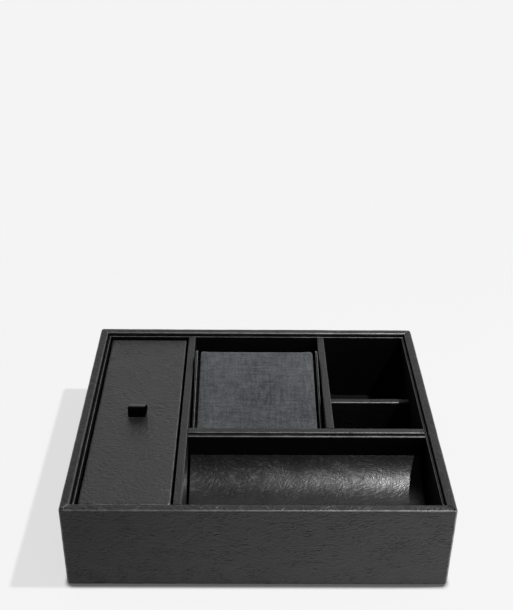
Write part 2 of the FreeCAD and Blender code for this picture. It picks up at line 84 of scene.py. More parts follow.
class Wiring:
    """Adds nodes to one node tree and joins them up."""

    def __init__(self, tree: bpy.types.NodeTree) -> None:
        """Keeps the tree that the nodes go into."""
        self.tree = tree

    def node(self, kind: str, inputs: Optional[dict] = None, **settings: object) -> bpy.types.Node:
        """Adds one node.

        Args:
            kind: Blender's type name without its ShaderNode prefix.
            inputs: Socket name or number to a value or to the socket that feeds it.
            settings: Properties of the node itself.

        Returns:
            The new node.
        """
        made = self.tree.nodes.new("ShaderNode" + kind)
        for name, setting in settings.items():
            setattr(made, name, setting)
        for name, value in (inputs or {}).items():
            self.feed(made.inputs[name], value)
        return made

    def feed(self, socket: Socket, value: Value) -> None:
        """Links a socket into another, or sets its plain value.

        Args:
            socket: The input that is fed.
            value: A number, a vector, a colour with or without alpha, or the socket that feeds it.
        """
        if isinstance(value, bpy.types.NodeSocket):
            self.tree.links.new(value, socket)
        elif isinstance(value, (int, float)) or len(value) == len(socket.default_value):
            socket.default_value = value
        else:
            socket.default_value = (*value, 1.0)

    def maths(self, operation: str, *values: Value) -> Socket:
        """Runs a Math node over the values and returns its result."""
        return self.node("Math", dict(enumerate(values)), operation=operation).outputs[0]

    def vector(self, operation: str, *values: Value) -> Socket:
        """Runs a Vector Math node over the values and returns its vector."""
        return self.node("VectorMath", dict(enumerate(values)), operation=operation).outputs[0]

    def number(self, operation: str, *values: Value) -> Socket:
        """Runs a Vector Math node over the values and returns its number."""
        return self.node("VectorMath", dict(enumerate(values)), operation=operation).outputs["Value"]

    def scaled(self, vector: Value, scale: Value) -> Socket:
        """Returns the vector times a number."""
        return self.node("VectorMath", {0: vector, "Scale": scale}, operation="SCALE").outputs[0]

    def blend(self, share: Value, first: Value, second: Value) -> Socket:
        """Returns a mix of two colours, all second where share is 1."""
        return self.node("Mix", {0: share, 6: first, 7: second}, data_type="RGBA").outputs[2]

    def between(self, share: Value, first: Value, second: Value) -> Socket:
        """Returns a mix of two numbers, all second where share is 1."""
        return self.node("Mix", {0: share, 2: first, 3: second}, data_type="FLOAT").outputs[0]

    def ramp(self, value: Value, low: Value, high: Value) -> Socket:
        """Returns a smooth step, 0 below low and 1 above high."""
        return self.node("MapRange", {0: value, 1: low, 2: high}, interpolation_type="SMOOTHSTEP").outputs[0]

    def noise(self, vector: Value, scale: float, detail: float = 2.0, output: int = 0) -> Socket:
        """Returns a noise texture's number, or its colour where output is 1."""
        return self.node("TexNoise", {"Vector": vector, "Scale": scale, "Detail": detail}).outputs[output]

    def warped(self, vector: Socket, scale: float, amount: Value, detail: float) -> Socket:
        """Returns the vector pushed about by noise of the given scale."""
        push = self.vector("SUBTRACT", self.noise(vector, scale, detail, 1), (0.5, 0.5, 0.5))
        return self.vector("ADD", vector, self.scaled(push, amount))

    def bump(self, height: Socket, depth: float, under: Optional[Socket] = None) -> Socket:
        """Returns the normal of a bumpy surface, laid over another one's where that is given."""
        inputs = {"Height": height, "Distance": depth, "Strength": 1.0}
        return self.node("Bump", inputs if under is None else inputs | {"Normal": under}).outputs[0]

    def local(self) -> Socket:
        """Returns the object's own coordinates, which stay with it when it moves."""
        return self.node("TexCoord").outputs["Object"]

    def stored(self, name: str, output: str = "Fac") -> Socket:
        """Returns a value stored on the mesh."""
        return self.node("Attribute", attribute_name=name).outputs[output]


class Effect:
    """A shader node group with named inputs and outputs, built once and used in many materials."""

    def __init__(self, name: str, outputs: Sequence[str], **inputs: Value) -> None:
        """Opens the group.

        Args:
            name: The group's name.
            outputs: Names of the numbers that the group gives.
            inputs: Default value of each input, a vector where it has three parts.
        """
        self.tree = bpy.data.node_groups.new(name, "ShaderNodeTree")
        for label, default in inputs.items():
            kind = "NodeSocketFloat" if isinstance(default, float) else "NodeSocketVector"
            made = self.tree.interface.new_socket(label, in_out="INPUT", socket_type=kind)
            made.default_value = default
        for label in outputs:
            self.tree.interface.new_socket(label, in_out="OUTPUT", socket_type="NodeSocketFloat")
        self.wiring = Wiring(self.tree)
        self.given = self.tree.nodes.new("NodeGroupInput").outputs
        self.result = self.tree.nodes.new("NodeGroupOutput").inputs

    def counted_in(self, label: str) -> Socket:
        """Returns the group's coordinates, counted in lengths of one of its inputs."""
        per_metre = self.wiring.maths("DIVIDE", 1.0, self.given[label])
        return self.wiring.scaled(self.given["Coordinates"], per_metre)

    def give(self, **values: Value) -> None:
        """Feeds the group's outputs by name."""
        for name, value in values.items():
            self.wiring.feed(self.result[name], value)

    def place(self, wiring: Wiring, **inputs: Value) -> bpy.types.NodeOutputs:
        """Puts the group into a material.

        Args:
            wiring: The material's own wiring.
            inputs: Values for the group's inputs by name.

        Returns:
            The placed node's outputs.
        """
        node = wiring.tree.nodes.new("ShaderNodeGroup")
        node.node_tree = self.tree
        for name, value in inputs.items():
            wiring.feed(node.inputs[name], value)
        return node.outputs


class Effects:
    """The effects that several finishes share."""

    def __init__(self) -> None:
        """Builds every group."""
        self.creases = self.build_creases()
        self.grain = self.build_grain()
        self.fold_wear_and_highlight = self.build_fold_wear_and_highlight()
        self.nap = self.build_nap()
        self.ribbing = self.build_ribbing()

    @staticmethod
    def build_creases() -> Effect:
        """Makes the short wandering creases of a coated leather, in clusters that turn about.

        Run squeezes the pattern along the way the creases go. Even is how creased the leather is
        between the clusters.

        Returns:
            The group: Height is low in each crease, and Line is 1 there.
        """
        effect = Effect("long_creases", ("Height", "Line"), Coordinates=(0, 0, 0), Run=(0.25, 1, 1),
                        Pitch=0.001, Warp=4.0, Even=0.3)
        wires, given = effect.wiring, effect.given
        cluster_scale, sweep_scale, bend_scale, break_scale, wander_scale = 0.16, 0.045, 0.13, 0.75, 0.95
        cluster_edge, break_edge, line_edge = (0.38, 0.6), (0.42, 0.58), (0.1, 0.9)
        sweep_gain, wander_gain, wave_share = 2.4, 5.0, 0.3
        scaled = effect.counted_in("Pitch")
        cluster = wires.ramp(wires.noise(scaled, cluster_scale, 1.0), *cluster_edge)
        sweep = wires.warped(scaled, sweep_scale, wires.maths("MULTIPLY", given["Warp"], sweep_gain), 1.0)
        bent = wires.warped(sweep, bend_scale, given["Warp"], 1.5)
        run = wires.vector("MULTIPLY", bent, given["Run"])
        level = wires.vector("MULTIPLY", wires.vector("MULTIPLY", run, given["Run"]), given["Run"])
        waves = wires.maths("SINE", wires.number("DOT_PRODUCT", level, (math.tau,) * 3))
        elsewhere = wires.vector("ADD", run, (31.0, 17.0, 5.0))
        broken = wires.ramp(wires.noise(elsewhere, break_scale, 1.0), *break_edge)
        wander = wires.maths("SUBTRACT", wires.noise(run, wander_scale), 0.5)
        swing = wires.between(wires.maths("MULTIPLY", broken, wave_share),
                              wires.maths("MULTIPLY", wander, wander_gain), waves)
        strength = wires.between(cluster, given["Even"], 1.0)
        low = wires.ramp(wires.maths("MULTIPLY", swing, -1.0), *line_edge)
        line = wires.maths("MULTIPLY", low, strength)
        rise = wires.maths("MULTIPLY", wires.maths("MULTIPLY", swing, strength), 0.5)
        effect.give(Height=wires.maths("ADD", 0.5, rise), Line=line)
        return effect

    @staticmethod
    def build_grain() -> Effect:
        """Makes the fine pebbled grain.

        Returns:
            The group: Height of the small cells, and Tone, a broad mottling.
        """
        effect = Effect("fine_grain", ("Height", "Tone"), Coordinates=(0, 0, 0), Size=0.0007)
        wires = effect.wiring
        warp_scale, speck_scale, tone_scale, speck_share = 0.7, 2.6, 0.035, 0.35
        scaled = effect.counted_in("Size")
        bent = wires.warped(scaled, warp_scale, 0.8, 1.0)
        cell_inputs = {"Vector": bent, "Scale": 1.0, "Smoothness": 0.35}
        cells = wires.node("TexVoronoi", cell_inputs, feature="SMOOTH_F1").outputs[0]
        dome = wires.maths("SUBTRACT", 1.0, cells)
        effect.give(Height=wires.between(speck_share, dome, wires.noise(scaled, speck_scale)),
                    Tone=wires.noise(scaled, tone_scale, 3.0))
        return effect

    @staticmethod
    def build_fold_wear_and_highlight() -> Effect:
        """Makes the polish that handling gives a folded edge, broken up by noise. The leathers also use it
        for a lighter fold colour, which is partly a painted highlight.

        Returns:
            The group: Mask is 1 where the edge is polished.
        """
        effect = Effect("fold_wear_and_highlight", ("Mask",), Fold=0.0, Coordinates=(0, 0, 0), Reach=0.5)
        wires, given = effect.wiring, effect.given
        patches_per_metre, patchiness = 240.0, 0.65
        patchy = wires.maths("SUBTRACT", wires.noise(given["Coordinates"], patches_per_metre, 4.0), 0.5)
        level = wires.maths("ADD", given["Fold"], wires.maths("MULTIPLY", patchy, patchiness))
        effect.give(Mask=wires.ramp(level, wires.maths("SUBTRACT", 1.0, given["Reach"]), 1.0))
        return effect

    @staticmethod
    def build_nap() -> Effect:
        """Makes a short brushed nap.

        Returns:
            The group: Height of its crossing rows of fibres, and Tone, where the hand has turned them.
        """
        effect = Effect("brushed_nap", ("Height", "Tone"), Coordinates=(0, 0, 0), Fibre=0.0006, Cross=0.5)
        wires = effect.wiring
        fuzz_scale, fuzz_share, tone_scale = 1.7, 0.4, 0.05
        row_stretch, file_stretch = (0.16, 1.1, 1.1), (1.1, 0.16, 0.4)
        scaled = effect.counted_in("Fibre")
        rows = wires.noise(wires.vector("MULTIPLY", scaled, row_stretch), 1.0)
        files = wires.noise(wires.vector("MULTIPLY", scaled, file_stretch), 1.0)
        woven = wires.between(effect.given["Cross"], rows, files)
        fuzz = wires.noise(scaled, fuzz_scale, 3.0)
        effect.give(Height=wires.between(fuzz_share, woven, fuzz), Tone=wires.noise(scaled, tone_scale, 3.0))
        return effect

    @staticmethod
    def build_ribbing() -> Effect:
        """Makes a ribbon's crosswise ribs with the warp threads between them.

        Lay holds the place across the ribbon in X and along it in Y, both in metres.

        Returns:
            The group: Height of the ribs, and Shade, their colour from dark to light.
        """
        effect = Effect("ribbon_ribs", ("Height", "Shade"), Lay=(0, 0, 0), Rib=0.00055, Thread=0.0003)
        wires, given = effect.wiring, effect.given
        rib_share, thread_share, slubs_per_metre = 0.38, 0.12, (600.0, 2400.0, 1.0)
        across, along, _ = wires.node("SeparateXYZ", {0: given["Lay"]}).outputs

        def waves(place: Socket, label: str) -> Socket:
            """Returns a wave along one direction, whose length is one of the inputs."""
            turn = wires.maths("DIVIDE", given[label], math.tau)
            return wires.maths("SINE", wires.maths("DIVIDE", place, turn))

        weave = wires.maths("ADD", wires.maths("MULTIPLY", waves(along, "Rib"), rib_share),
                            wires.maths("MULTIPLY", waves(across, "Thread"), thread_share))
        height = wires.maths("ADD", weave, 0.5)
        slub = wires.noise(wires.vector("MULTIPLY", given["Lay"], slubs_per_metre), 1.0)
        effect.give(Height=height, Shade=wires.between(0.5, height, slub))
        return effect


# ---- Finishes -----------------------------------------------------------------------------------


class Lay(Enum):
    """Which way the long creases run: a scale for each axis, small along the crease."""

    ACROSS = (0.48, 1.0, 1.0)
    FRONT_TO_BACK = (1.0, 0.48, 1.0)
    ROUND = (0.62, 1.0, 0.9)


class Finish:
    """What every finish shares: a new material with its shader."""

    name: str

    def open(self) -> tuple[bpy.types.Material, Wiring]:
        """Starts the material.

        Returns:
            The material and its wiring.
        """
        material = bpy.data.materials.new(self.name)
        material.use_nodes = True
        return material, Wiring(material.node_tree)

    @staticmethod
    def shade(material: bpy.types.Material, values: dict[str, Value]) -> bpy.types.Material:
        """Sets or feeds the shader's inputs.

        Args:
            material: The material that holds the shader.
            values: Input name to its value or to the socket that feeds it.

        Returns:
            The same material.
        """
        wires = Wiring(material.node_tree)
        for name, value in values.items():
            wires.feed(material.node_tree.nodes["Principled BSDF"].inputs[name], value)
        return material


@dataclass(frozen=True)
class Leather(Finish):
    """Coated leather with long creases, fine grain and polished folds.

    Sizes are in metres. Depths are how far the bump sinks. Light and dark are the base colours
    on the leather and in its creases, the darker colour in the creases being painted shade. The
    colour of a polished fold is lighter, partly real wear and partly a painted highlight.
    """

    name: str
    light: Triple = (0.007, 0.007, 0.0071)
    dark: Triple = (0.001, 0.001, 0.001)
    worn_and_highlit: Triple = (0.03, 0.03, 0.0305)
    roughness: float = 0.45
    gloss: float = 1.0
    crease_pitch: float = 1.25 * MM
    crease_depth: float = 0.38 * MM
    even: float = 0.4
    warp: float = 4.5
    grain_size: float = 0.85 * MM
    grain_depth: float = 0.08 * MM
    lay: Lay = Lay.ACROSS
    turn: float = 0.0
    reach: float = 0.45
    specular: float = 0.5
    polish: float = 1.8
    coat_roughness: float = 0.5
    painted_crease_shade: float = 0.6
    crease_drag: float = 0.1
    mottle: Pair = (0.55, 1.05)
    mottled_roughness: float = 0.06
    flattened_by_wear: float = 0.85

    def build(self, effects: Effects) -> bpy.types.Material:
        """Builds the material, with the shared effects placed at this leather's own values.

        Args:
            effects: The shared effects.

        Returns:
            The material.
        """
        material, wires = self.open()
        place = wires.local()
        rotation = (0, 0, math.radians(self.turn))
        turned = wires.node("Mapping", {"Vector": place, "Rotation": rotation}).outputs[0]
        crease = effects.creases.place(wires, Coordinates=turned, Run=self.lay.value, Pitch=self.crease_pitch,
                                       Warp=self.warp, Even=self.even)
        grain = effects.grain.place(wires, Coordinates=place, Size=self.grain_size)
        wear_and_highlight = effects.fold_wear_and_highlight.place(wires, Fold=wires.stored("fold"), Coordinates=place,
                                       Reach=self.reach)["Mask"]
        tone = wires.between(grain["Tone"], *self.mottle)
        # Painted shade: the base colour darkens in each crease, times the random mottle.
        shade = wires.maths("MULTIPLY", wires.between(crease["Line"], 1.0, self.painted_crease_shade), tone)
        rough = wires.between(grain["Tone"], self.roughness - self.mottled_roughness,
                              self.roughness + self.mottled_roughness)
        flattened = wires.maths("MULTIPLY", wear_and_highlight, self.flattened_by_wear)
        fine = wires.bump(grain["Height"], self.grain_depth)
        return self.shade(material, {
            # The fold's lighter colour is partly real wear and partly a painted highlight; the creases'
            # darker colour is painted shade.
            "Base Color": wires.blend(wear_and_highlight, wires.blend(shade, self.dark, self.light), self.worn_and_highlit),
            "Roughness": wires.maths("ADD", wires.maths("MULTIPLY", crease["Line"], self.crease_drag), rough),
            "Coat Weight": wires.maths("MULTIPLY", wear_and_highlight, self.gloss),
            "Coat Roughness": self.coat_roughness,
            "Coat IOR": self.polish,
            "Specular IOR Level": self.specular,
            "Normal": wires.bump(wires.between(flattened, crease["Height"], 0.5), self.crease_depth, fine),
        })


@dataclass(frozen=True)
class Nap(Finish):
    """Suede, felt or any short pile."""

    name: str
    light: Triple
    dark: Triple
    fibre: float = 0.6 * MM
    depth: float = 0.12 * MM
    cross: float = 0.5
    sheen: float = 0.25
    brushing: float = 0.3
    fibre_edge: Pair = (0.36, 0.64)
    brushed_edge: Pair = (0.25, 0.75)
    roughness: Pair = (0.98, 0.86)
    specular: float = 0.2
    sheen_roughness: float = 0.5

    def build(self, effects: Effects) -> bpy.types.Material:
        """Builds the material, rough all over, its colour broken up by the fibres.

        Args:
            effects: The shared effects.

        Returns:
            The material.
        """
        material, wires = self.open()
        nap = effects.nap.place(wires, Coordinates=wires.local(), Fibre=self.fibre, Cross=self.cross)
        brushed = wires.ramp(nap["Tone"], *self.brushed_edge)
        mixed = wires.between(self.brushing, wires.ramp(nap["Height"], *self.fibre_edge), brushed)
        return self.shade(material, {
            "Base Color": wires.blend(mixed, self.dark, self.light),
            "Roughness": wires.between(brushed, *self.roughness),
            "Specular IOR Level": self.specular,
            "Sheen Weight": self.sheen,
            "Sheen Roughness": self.sheen_roughness,
            "Normal": wires.bump(nap["Height"], self.depth),
        })


@dataclass(frozen=True)
class Ribbon(Finish):
    """Ribbed woven ribbon with a selvedge along each side."""

    name: str = "black_ribbon"
    light: Triple = (0.0013, 0.0013, 0.0014)
    dark: Triple = (0.0004, 0.0004, 0.0004)
    rub_and_highlight: Triple = (0.1, 0.1, 0.103)
    selvedge: float = 4.75 * MM
    selvedge_edge: float = 0.2 * MM
    selvedge_shade: float = 0.6
    rib_depth: float = 0.07 * MM
    rub_and_highlight_edge: Pair = (0.1, 0.9)
    roughness: Pair = (0.75, 0.5)
    specular: float = 0.04

    def build(self, effects: Effects) -> bpy.types.Material:
        """Builds the material, laid out by the place stored on the ribbon.

        Args:
            effects: The shared effects.

        Returns:
            The material.
        """
        material, wires = self.open()
        lay = wires.stored("lay", "Vector")
        ribs = effects.ribbing.place(wires, Lay=lay)
        across = wires.maths("ABSOLUTE", wires.node("SeparateXYZ", {0: lay}).outputs[0])
        edge = wires.ramp(across, self.selvedge - self.selvedge_edge, self.selvedge)
        shade = wires.maths("MULTIPLY", ribs["Shade"], wires.between(edge, 1.0, self.selvedge_shade))
        # The top fold takes a much lighter colour: a painted highlight, with some rubbing.
        rub_and_highlight = wires.ramp(wires.stored("fold"), *self.rub_and_highlight_edge)
        return self.shade(material, {
            "Base Color": wires.blend(rub_and_highlight, wires.blend(shade, self.dark, self.light), self.rub_and_highlight),
            "Roughness": wires.between(ribs["Shade"], *self.roughness),
            "Specular IOR Level": self.specular,
            "Normal": wires.bump(ribs["Height"], self.rib_depth),
        })


@dataclass(frozen=True)
class PressedFibre(Finish):
    """Fibreboard or foam: fine random flecks in a matt body."""

    name: str
    light: Triple
    dark: Triple
    fleck: float = 0.9 * MM
    depth: float = 0.05 * MM
    fibres_per_metre: Triple = (900.0, 350.0, 1400.0)
    fibre_edge: Pair = (0.3, 0.7)
    roughness: Pair = (0.95, 0.8)
    specular: float = 0.25

    def build(self, effects: Effects) -> bpy.types.Material:
        """Builds the material, its flecks longest from front to back.

        Args:
            effects: The shared effects.

        Returns:
            The material.
        """
        material, wires = self.open()
        place = wires.local()
        grain = effects.grain.place(wires, Coordinates=place, Size=self.fleck)
        fibre = wires.noise(wires.vector("MULTIPLY", place, self.fibres_per_metre), 1.0, 3.0)
        mixed = wires.between(0.5, wires.ramp(fibre, *self.fibre_edge), grain["Tone"])
        return self.shade(material, {
            "Base Color": wires.blend(mixed, self.dark, self.light),
            "Roughness": wires.between(mixed, *self.roughness),
            "Specular IOR Level": self.specular,
            "Normal": wires.bump(grain["Height"], self.depth),
        })


class Wardrobe:
    """Every material of the box, built once and handed out by name."""

    def __init__(self) -> None:
        """Builds the effects and the finishes that use them."""
        effects = Effects()
        finishes = (
            Leather("wall_leather_across", polish=2.3),
            Leather("wall_leather_lengthwise", lay=Lay.FRONT_TO_BACK, gloss=0.3, specular=0.42),
            Leather("lid_leather", lay=Lay.ROUND, turn=-12.0, crease_pitch=1.5 * MM, crease_depth=0.24 * MM,
                    polish=2.4, grain_size=1.1 * MM, grain_depth=0.14 * MM, specular=0.72),
            Leather("divider_leather_across", crease_depth=0.2 * MM, polish=2.4),
            Leather("divider_leather_lengthwise", lay=Lay.FRONT_TO_BACK, crease_depth=0.22 * MM, gloss=0.4),
            # The lining's very dark base colour is partly painted shade, keeping the insides of the cells
            # black.
            Leather("lining_leather", (0.0016,) * 3, (0.0006,) * 3, lay=Lay.ROUND, crease_depth=0.03 * MM,
                    grain_depth=0.03 * MM, roughness=0.75, specular=0.15, reach=0.75, polish=2.4),
            Leather("tray_leather", (0.002,) * 3, (0.0006,) * 3, lay=Lay.ROUND, turn=-25.0,
                    crease_pitch=1.4 * MM, crease_depth=0.055 * MM, even=0.9, grain_depth=0.02 * MM,
                    roughness=0.32, specular=0.92),
            Leather("pad_end_leather", (0.003,) * 3, (0.001,) * 3, lay=Lay.ROUND, crease_depth=0.03 * MM,
                    roughness=0.24, reach=0.7, polish=2.4),
            Nap("charcoal_suede", (0.096, 0.1, 0.107), (0.024, 0.025, 0.028), fibre=1.5 * MM,
                depth=0.45 * MM),
            Nap("lid_lining_suede", (0.06, 0.062, 0.066), (0.03, 0.031, 0.033), fibre=0.5 * MM),
            Nap("base_felt", (0.022, 0.022, 0.023), (0.008,) * 3, fibre=0.9 * MM, depth=0.2 * MM, sheen=0.1),
            Ribbon(),
            PressedFibre("fibreboard", (0.42, 0.31, 0.2), (0.24, 0.165, 0.1)),
            PressedFibre("dark_foam", (0.005, 0.005, 0.0052), (0.0015,) * 3, fleck=0.6 * MM,
                         depth=0.1 * MM),
        )
        self.made = {finish.name: finish.build(effects) for finish in finishes}

    def hang(self, piece: Piece, name: str) -> None:
        """Puts one finish on a whole piece.

        Args:
            piece: The object.
            name: Name of the finish.
        """
        piece.data.materials.clear()
        piece.data.materials.append(self.made[name])
        for face in piece.data.polygons:
            face.material_index = 0


# ---- Shapes -------------------------------------------------------------------------------------


@dataclass
class Shape:
    """A mesh in the making.

    Points and normals are arrays of three columns, faces are lists of point numbers, and fold is
    1 where the surface turns over an edge and 0 where it is flat.
    """

    points: np.ndarray
    normals: np.ndarray
    faces: list[list[int]]
    fold: np.ndarray

    def ripple(self, depth: float, pitch: float, seed: int, on_fold: float = 0.0) -> "Shape":
        """Pushes the points in and out by smooth noise.

        Args:
            depth: Greatest push on flat leather.
            pitch: Length of one wave.
            seed: Which part of the noise to use.
            on_fold: Further push where the surface folds.

        Returns:
            The same shape.
        """
        offset = Vector([seed * stride for stride in SEED_STRIDE])
        level = np.array([noise.noise(Vector(point) / pitch + offset) for point in self.points])
        self.points += self.normals * (level * (depth + on_fold * self.fold))[:, None]
        return self

    def dent(self, centre: Sequence[float], reach: Sequence[float], depth: float) -> "Shape":
        """Sinks the points round a centre by a smooth hollow.

        Args:
            centre: The middle of the hollow.
            reach: How far it reaches along each axis.
            depth: How deep it is.

        Returns:
            The same shape.
        """
        away = (self.points - np.array(centre)) / np.array(reach)
        self.points[:, 2] -= depth * np.exp(-(away**2).sum(1))
        return self

    def join(self, other: "Shape") -> "Shape":
        """Puts another shape beside this one.

        Args:
            other: The shape to add.

        Returns:
            Both as one new shape.
        """
        start = len(self.points)
        moved = [[corner + start for corner in face] for face in other.faces]
        return Shape(np.vstack([self.points, other.points]), np.vstack([self.normals, other.normals]),
                     self.faces + moved, np.concatenate([self.fold, other.fold]))

    def make(self, name: str, merge: float = 0.002 * MM) -> Piece:
        """Turns the shape into an object.

        Args:
            name: The piece's name.
            merge: Points nearer than this become one.

        Returns:
            The linked object, shaded smooth.
        """
        mesh = bpy.data.meshes.new(name)
        mesh.from_pydata(self.points.tolist(), [], self.faces)
        mesh.attributes.new("fold", "FLOAT", "POINT").data.foreach_set("value", self.fold.astype(np.float32))
        work = bmesh.new()
        work.from_mesh(mesh)
        bmesh.ops.remove_doubles(work, verts=work.verts, dist=merge)
        bmesh.ops.recalc_face_normals(work, faces=work.faces)
        work.to_mesh(mesh)
        work.free()
        piece = bpy.data.objects.new(name, mesh)
        bpy.context.scene.collection.objects.link(piece)
        share_normals([piece])
        return piece


def read_points(piece: Piece) -> np.ndarray:
    """Reads a piece's points.

    Args:
        piece: The object.

    Returns:
        The points, one to a row.
    """
    place = np.empty(len(piece.data.vertices) * 3)
    piece.data.vertices.foreach_get("co", place)
    return place.reshape(-1, 3)


def write_points(piece: Piece, points: np.ndarray) -> None:
    """Moves a piece's points."""
    piece.data.vertices.foreach_set("co", points.ravel())
    piece.data.update()


def apply_modifiers(piece: Piece) -> None:
    """Turns what a piece's modifiers make into its own mesh.

    Args:
        piece: The object.
    """
    posed = piece.evaluated_get(bpy.context.evaluated_depsgraph_get())
    made = bpy.data.meshes.new_from_object(posed)
    piece.modifiers.clear()
    piece.data = made


def share_normals(pieces: Sequence[Piece]) -> None:
    """Gives every point one shading normal, weighted by area and shared between pieces that meet.

    Faces of more than four corners are closing caps and have no say.

    Args:
        pieces: The objects, which are shaded smooth.
    """
    places = [read_points(piece) for piece in pieces]
    sums = [np.zeros_like(place) for place in places]
    for piece, total in zip(pieces, sums):
        for face in piece.data.polygons:
            if len(face.vertices) <= 4:
                total[list(face.vertices)] += np.array(face.normal) * face.area
    keys = np.round(np.vstack(places) / SAME_PLACE).astype(np.int64)
    which = np.unique(keys, axis=0, return_inverse=True)[1].ravel()
    together = np.zeros((which.max() + 1, 3))
    np.add.at(together, which, np.vstack(sums))
    lengths = np.linalg.norm(together, axis=1, keepdims=True)
    together = np.where(lengths > TINY, together / np.maximum(lengths, TINY), (0.0, 0.0, 1.0))
    start = 0
    for piece, place in zip(pieces, places):
        own = which[start:start + len(place)]
        piece.data.polygons.foreach_set("use_smooth", [True] * len(piece.data.polygons))
        piece.data.normals_split_custom_set_from_vertices(together[own].tolist())
        start += len(place)


def steps(low: float, high: float, step: float) -> list[float]:
    """Returns even stations from low to high, no further apart than step."""
    count = max(1, math.ceil((high - low) / step - ROUNDING))
    return [low + (high - low) * n / count for n in range(count + 1)]


def rounded_box(low: Sequence[float], high: Sequence[float], radii: Sequence[float], step: float,
                lines: Sequence[Sequence[float]] = ((), (), ()), turns: int = 4) -> Shape:
    """Makes a box with rounded edges and a grid on every side.

    Args:
        low: Lowest corner.
        high: Highest corner.
        radii: Rounding measured along each axis.
        step: Grid spacing.
        lines: Places along each axis that must lie on the grid.
        turns: Facets in half of each rounded edge.

    Returns:
        The closed shape.
    """
    low, high = np.array(low, float), np.array(high, float)
    radii = np.minimum(np.array(radii, float), (high - low) * ROUNDEST)
    stations = []
    for start, end, radius, stops in zip(low, high, radii, lines):
        stops = [start + radius, *sorted(stops), end - radius]
        flat = stops[:1]
        for first, last in zip(stops, stops[1:]):
            flat += steps(first, last, step)[1:]
        curl = [radius * (1 - math.tan(math.pi / 4 * (1 - n / turns))) for n in range(turns)]
        stations.append([start + c for c in curl] + flat + [end - c for c in curl[::-1]])
    numbers: dict[tuple[int, ...], int] = {}
    faces = []
    for axis, (one, two) in enumerate(((1, 2), (0, 2), (0, 1))):
        ends = (0, len(stations[axis]) - 1)
        for side, row, column in product(ends, range(len(stations[one]) - 1), range(len(stations[two]) - 1)):
            face = []
            for a, b in ((0, 0), (1, 0), (1, 1), (0, 1)):
                index = {axis: side, one: row + a, two: column + b}
                face.append(numbers.setdefault((index[0], index[1], index[2]), len(numbers)))
            faces.append(face)
    points = np.array([[stations[axis][place] for axis, place in enumerate(index)] for index in numbers])
    core = np.clip(points, low + radii, high - radii)
    out = (points - core) / radii
    out /= np.linalg.norm(out, axis=1, keepdims=True)
    second = np.sort(np.abs(out), axis=1)[:, 1]
    return Shape(core + out * radii, out, faces, np.clip(second * math.sqrt(2), 0, 1))


def swept(rows: Sequence[Sequence[Spot]], capped: bool = True) -> Shape:
    """Skins a row of closed sections.

    Args:
        rows: The sections, each a ring of points with their outward directions and their folds.
        capped: Whether the first and last sections are closed.

    Returns:
        The shape.
    """
    count, around = len(rows), len(rows[0])
    faces = []
    for row, place in product(range(count - 1), range(around)):
        here, above, after = row * around, (row + 1) * around, (place + 1) % around
        faces.append([here + place, here + after, above + after, above + place])
    if capped:
        faces += [list(range(around)), list(range((count - 1) * around, count * around))]
    points, normals, fold = (np.array(part, float) for part in zip(*chain.from_iterable(rows)))
    return Shape(points, normals, faces, fold)


@dataclass
class Assembly:
    """One sub-assembly of the box, dressed from the shared wardrobe."""

    wardrobe: Wardrobe

    def settle(self, piece: Piece, finish: str, body: str, slot: str, *nodes: str) -> Piece:
        """Finishes a piece and hands it to its body.

        Args:
            piece: The object, already in place.
            finish: Name of the material.
            body: Name of the body that carries it.
            slot: The record's material slot; not used.
            nodes: The solids that it stands for.

        Returns:
            The same object.
        """
        self.wardrobe.hang(piece, finish)
        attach(piece, body)
        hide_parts(*nodes)
        log.info("%s: %d points, for %s", piece.name, len(piece.data.vertices), ", ".join(nodes))
        return piece


# ---- Casing -------------------------------------------------------------------------------------


class Stretch(Enum):
    """Which stretch of a wall a column of points stands in."""

    CORNER = 0
    MITRE = 1
    MIDDLE = 2


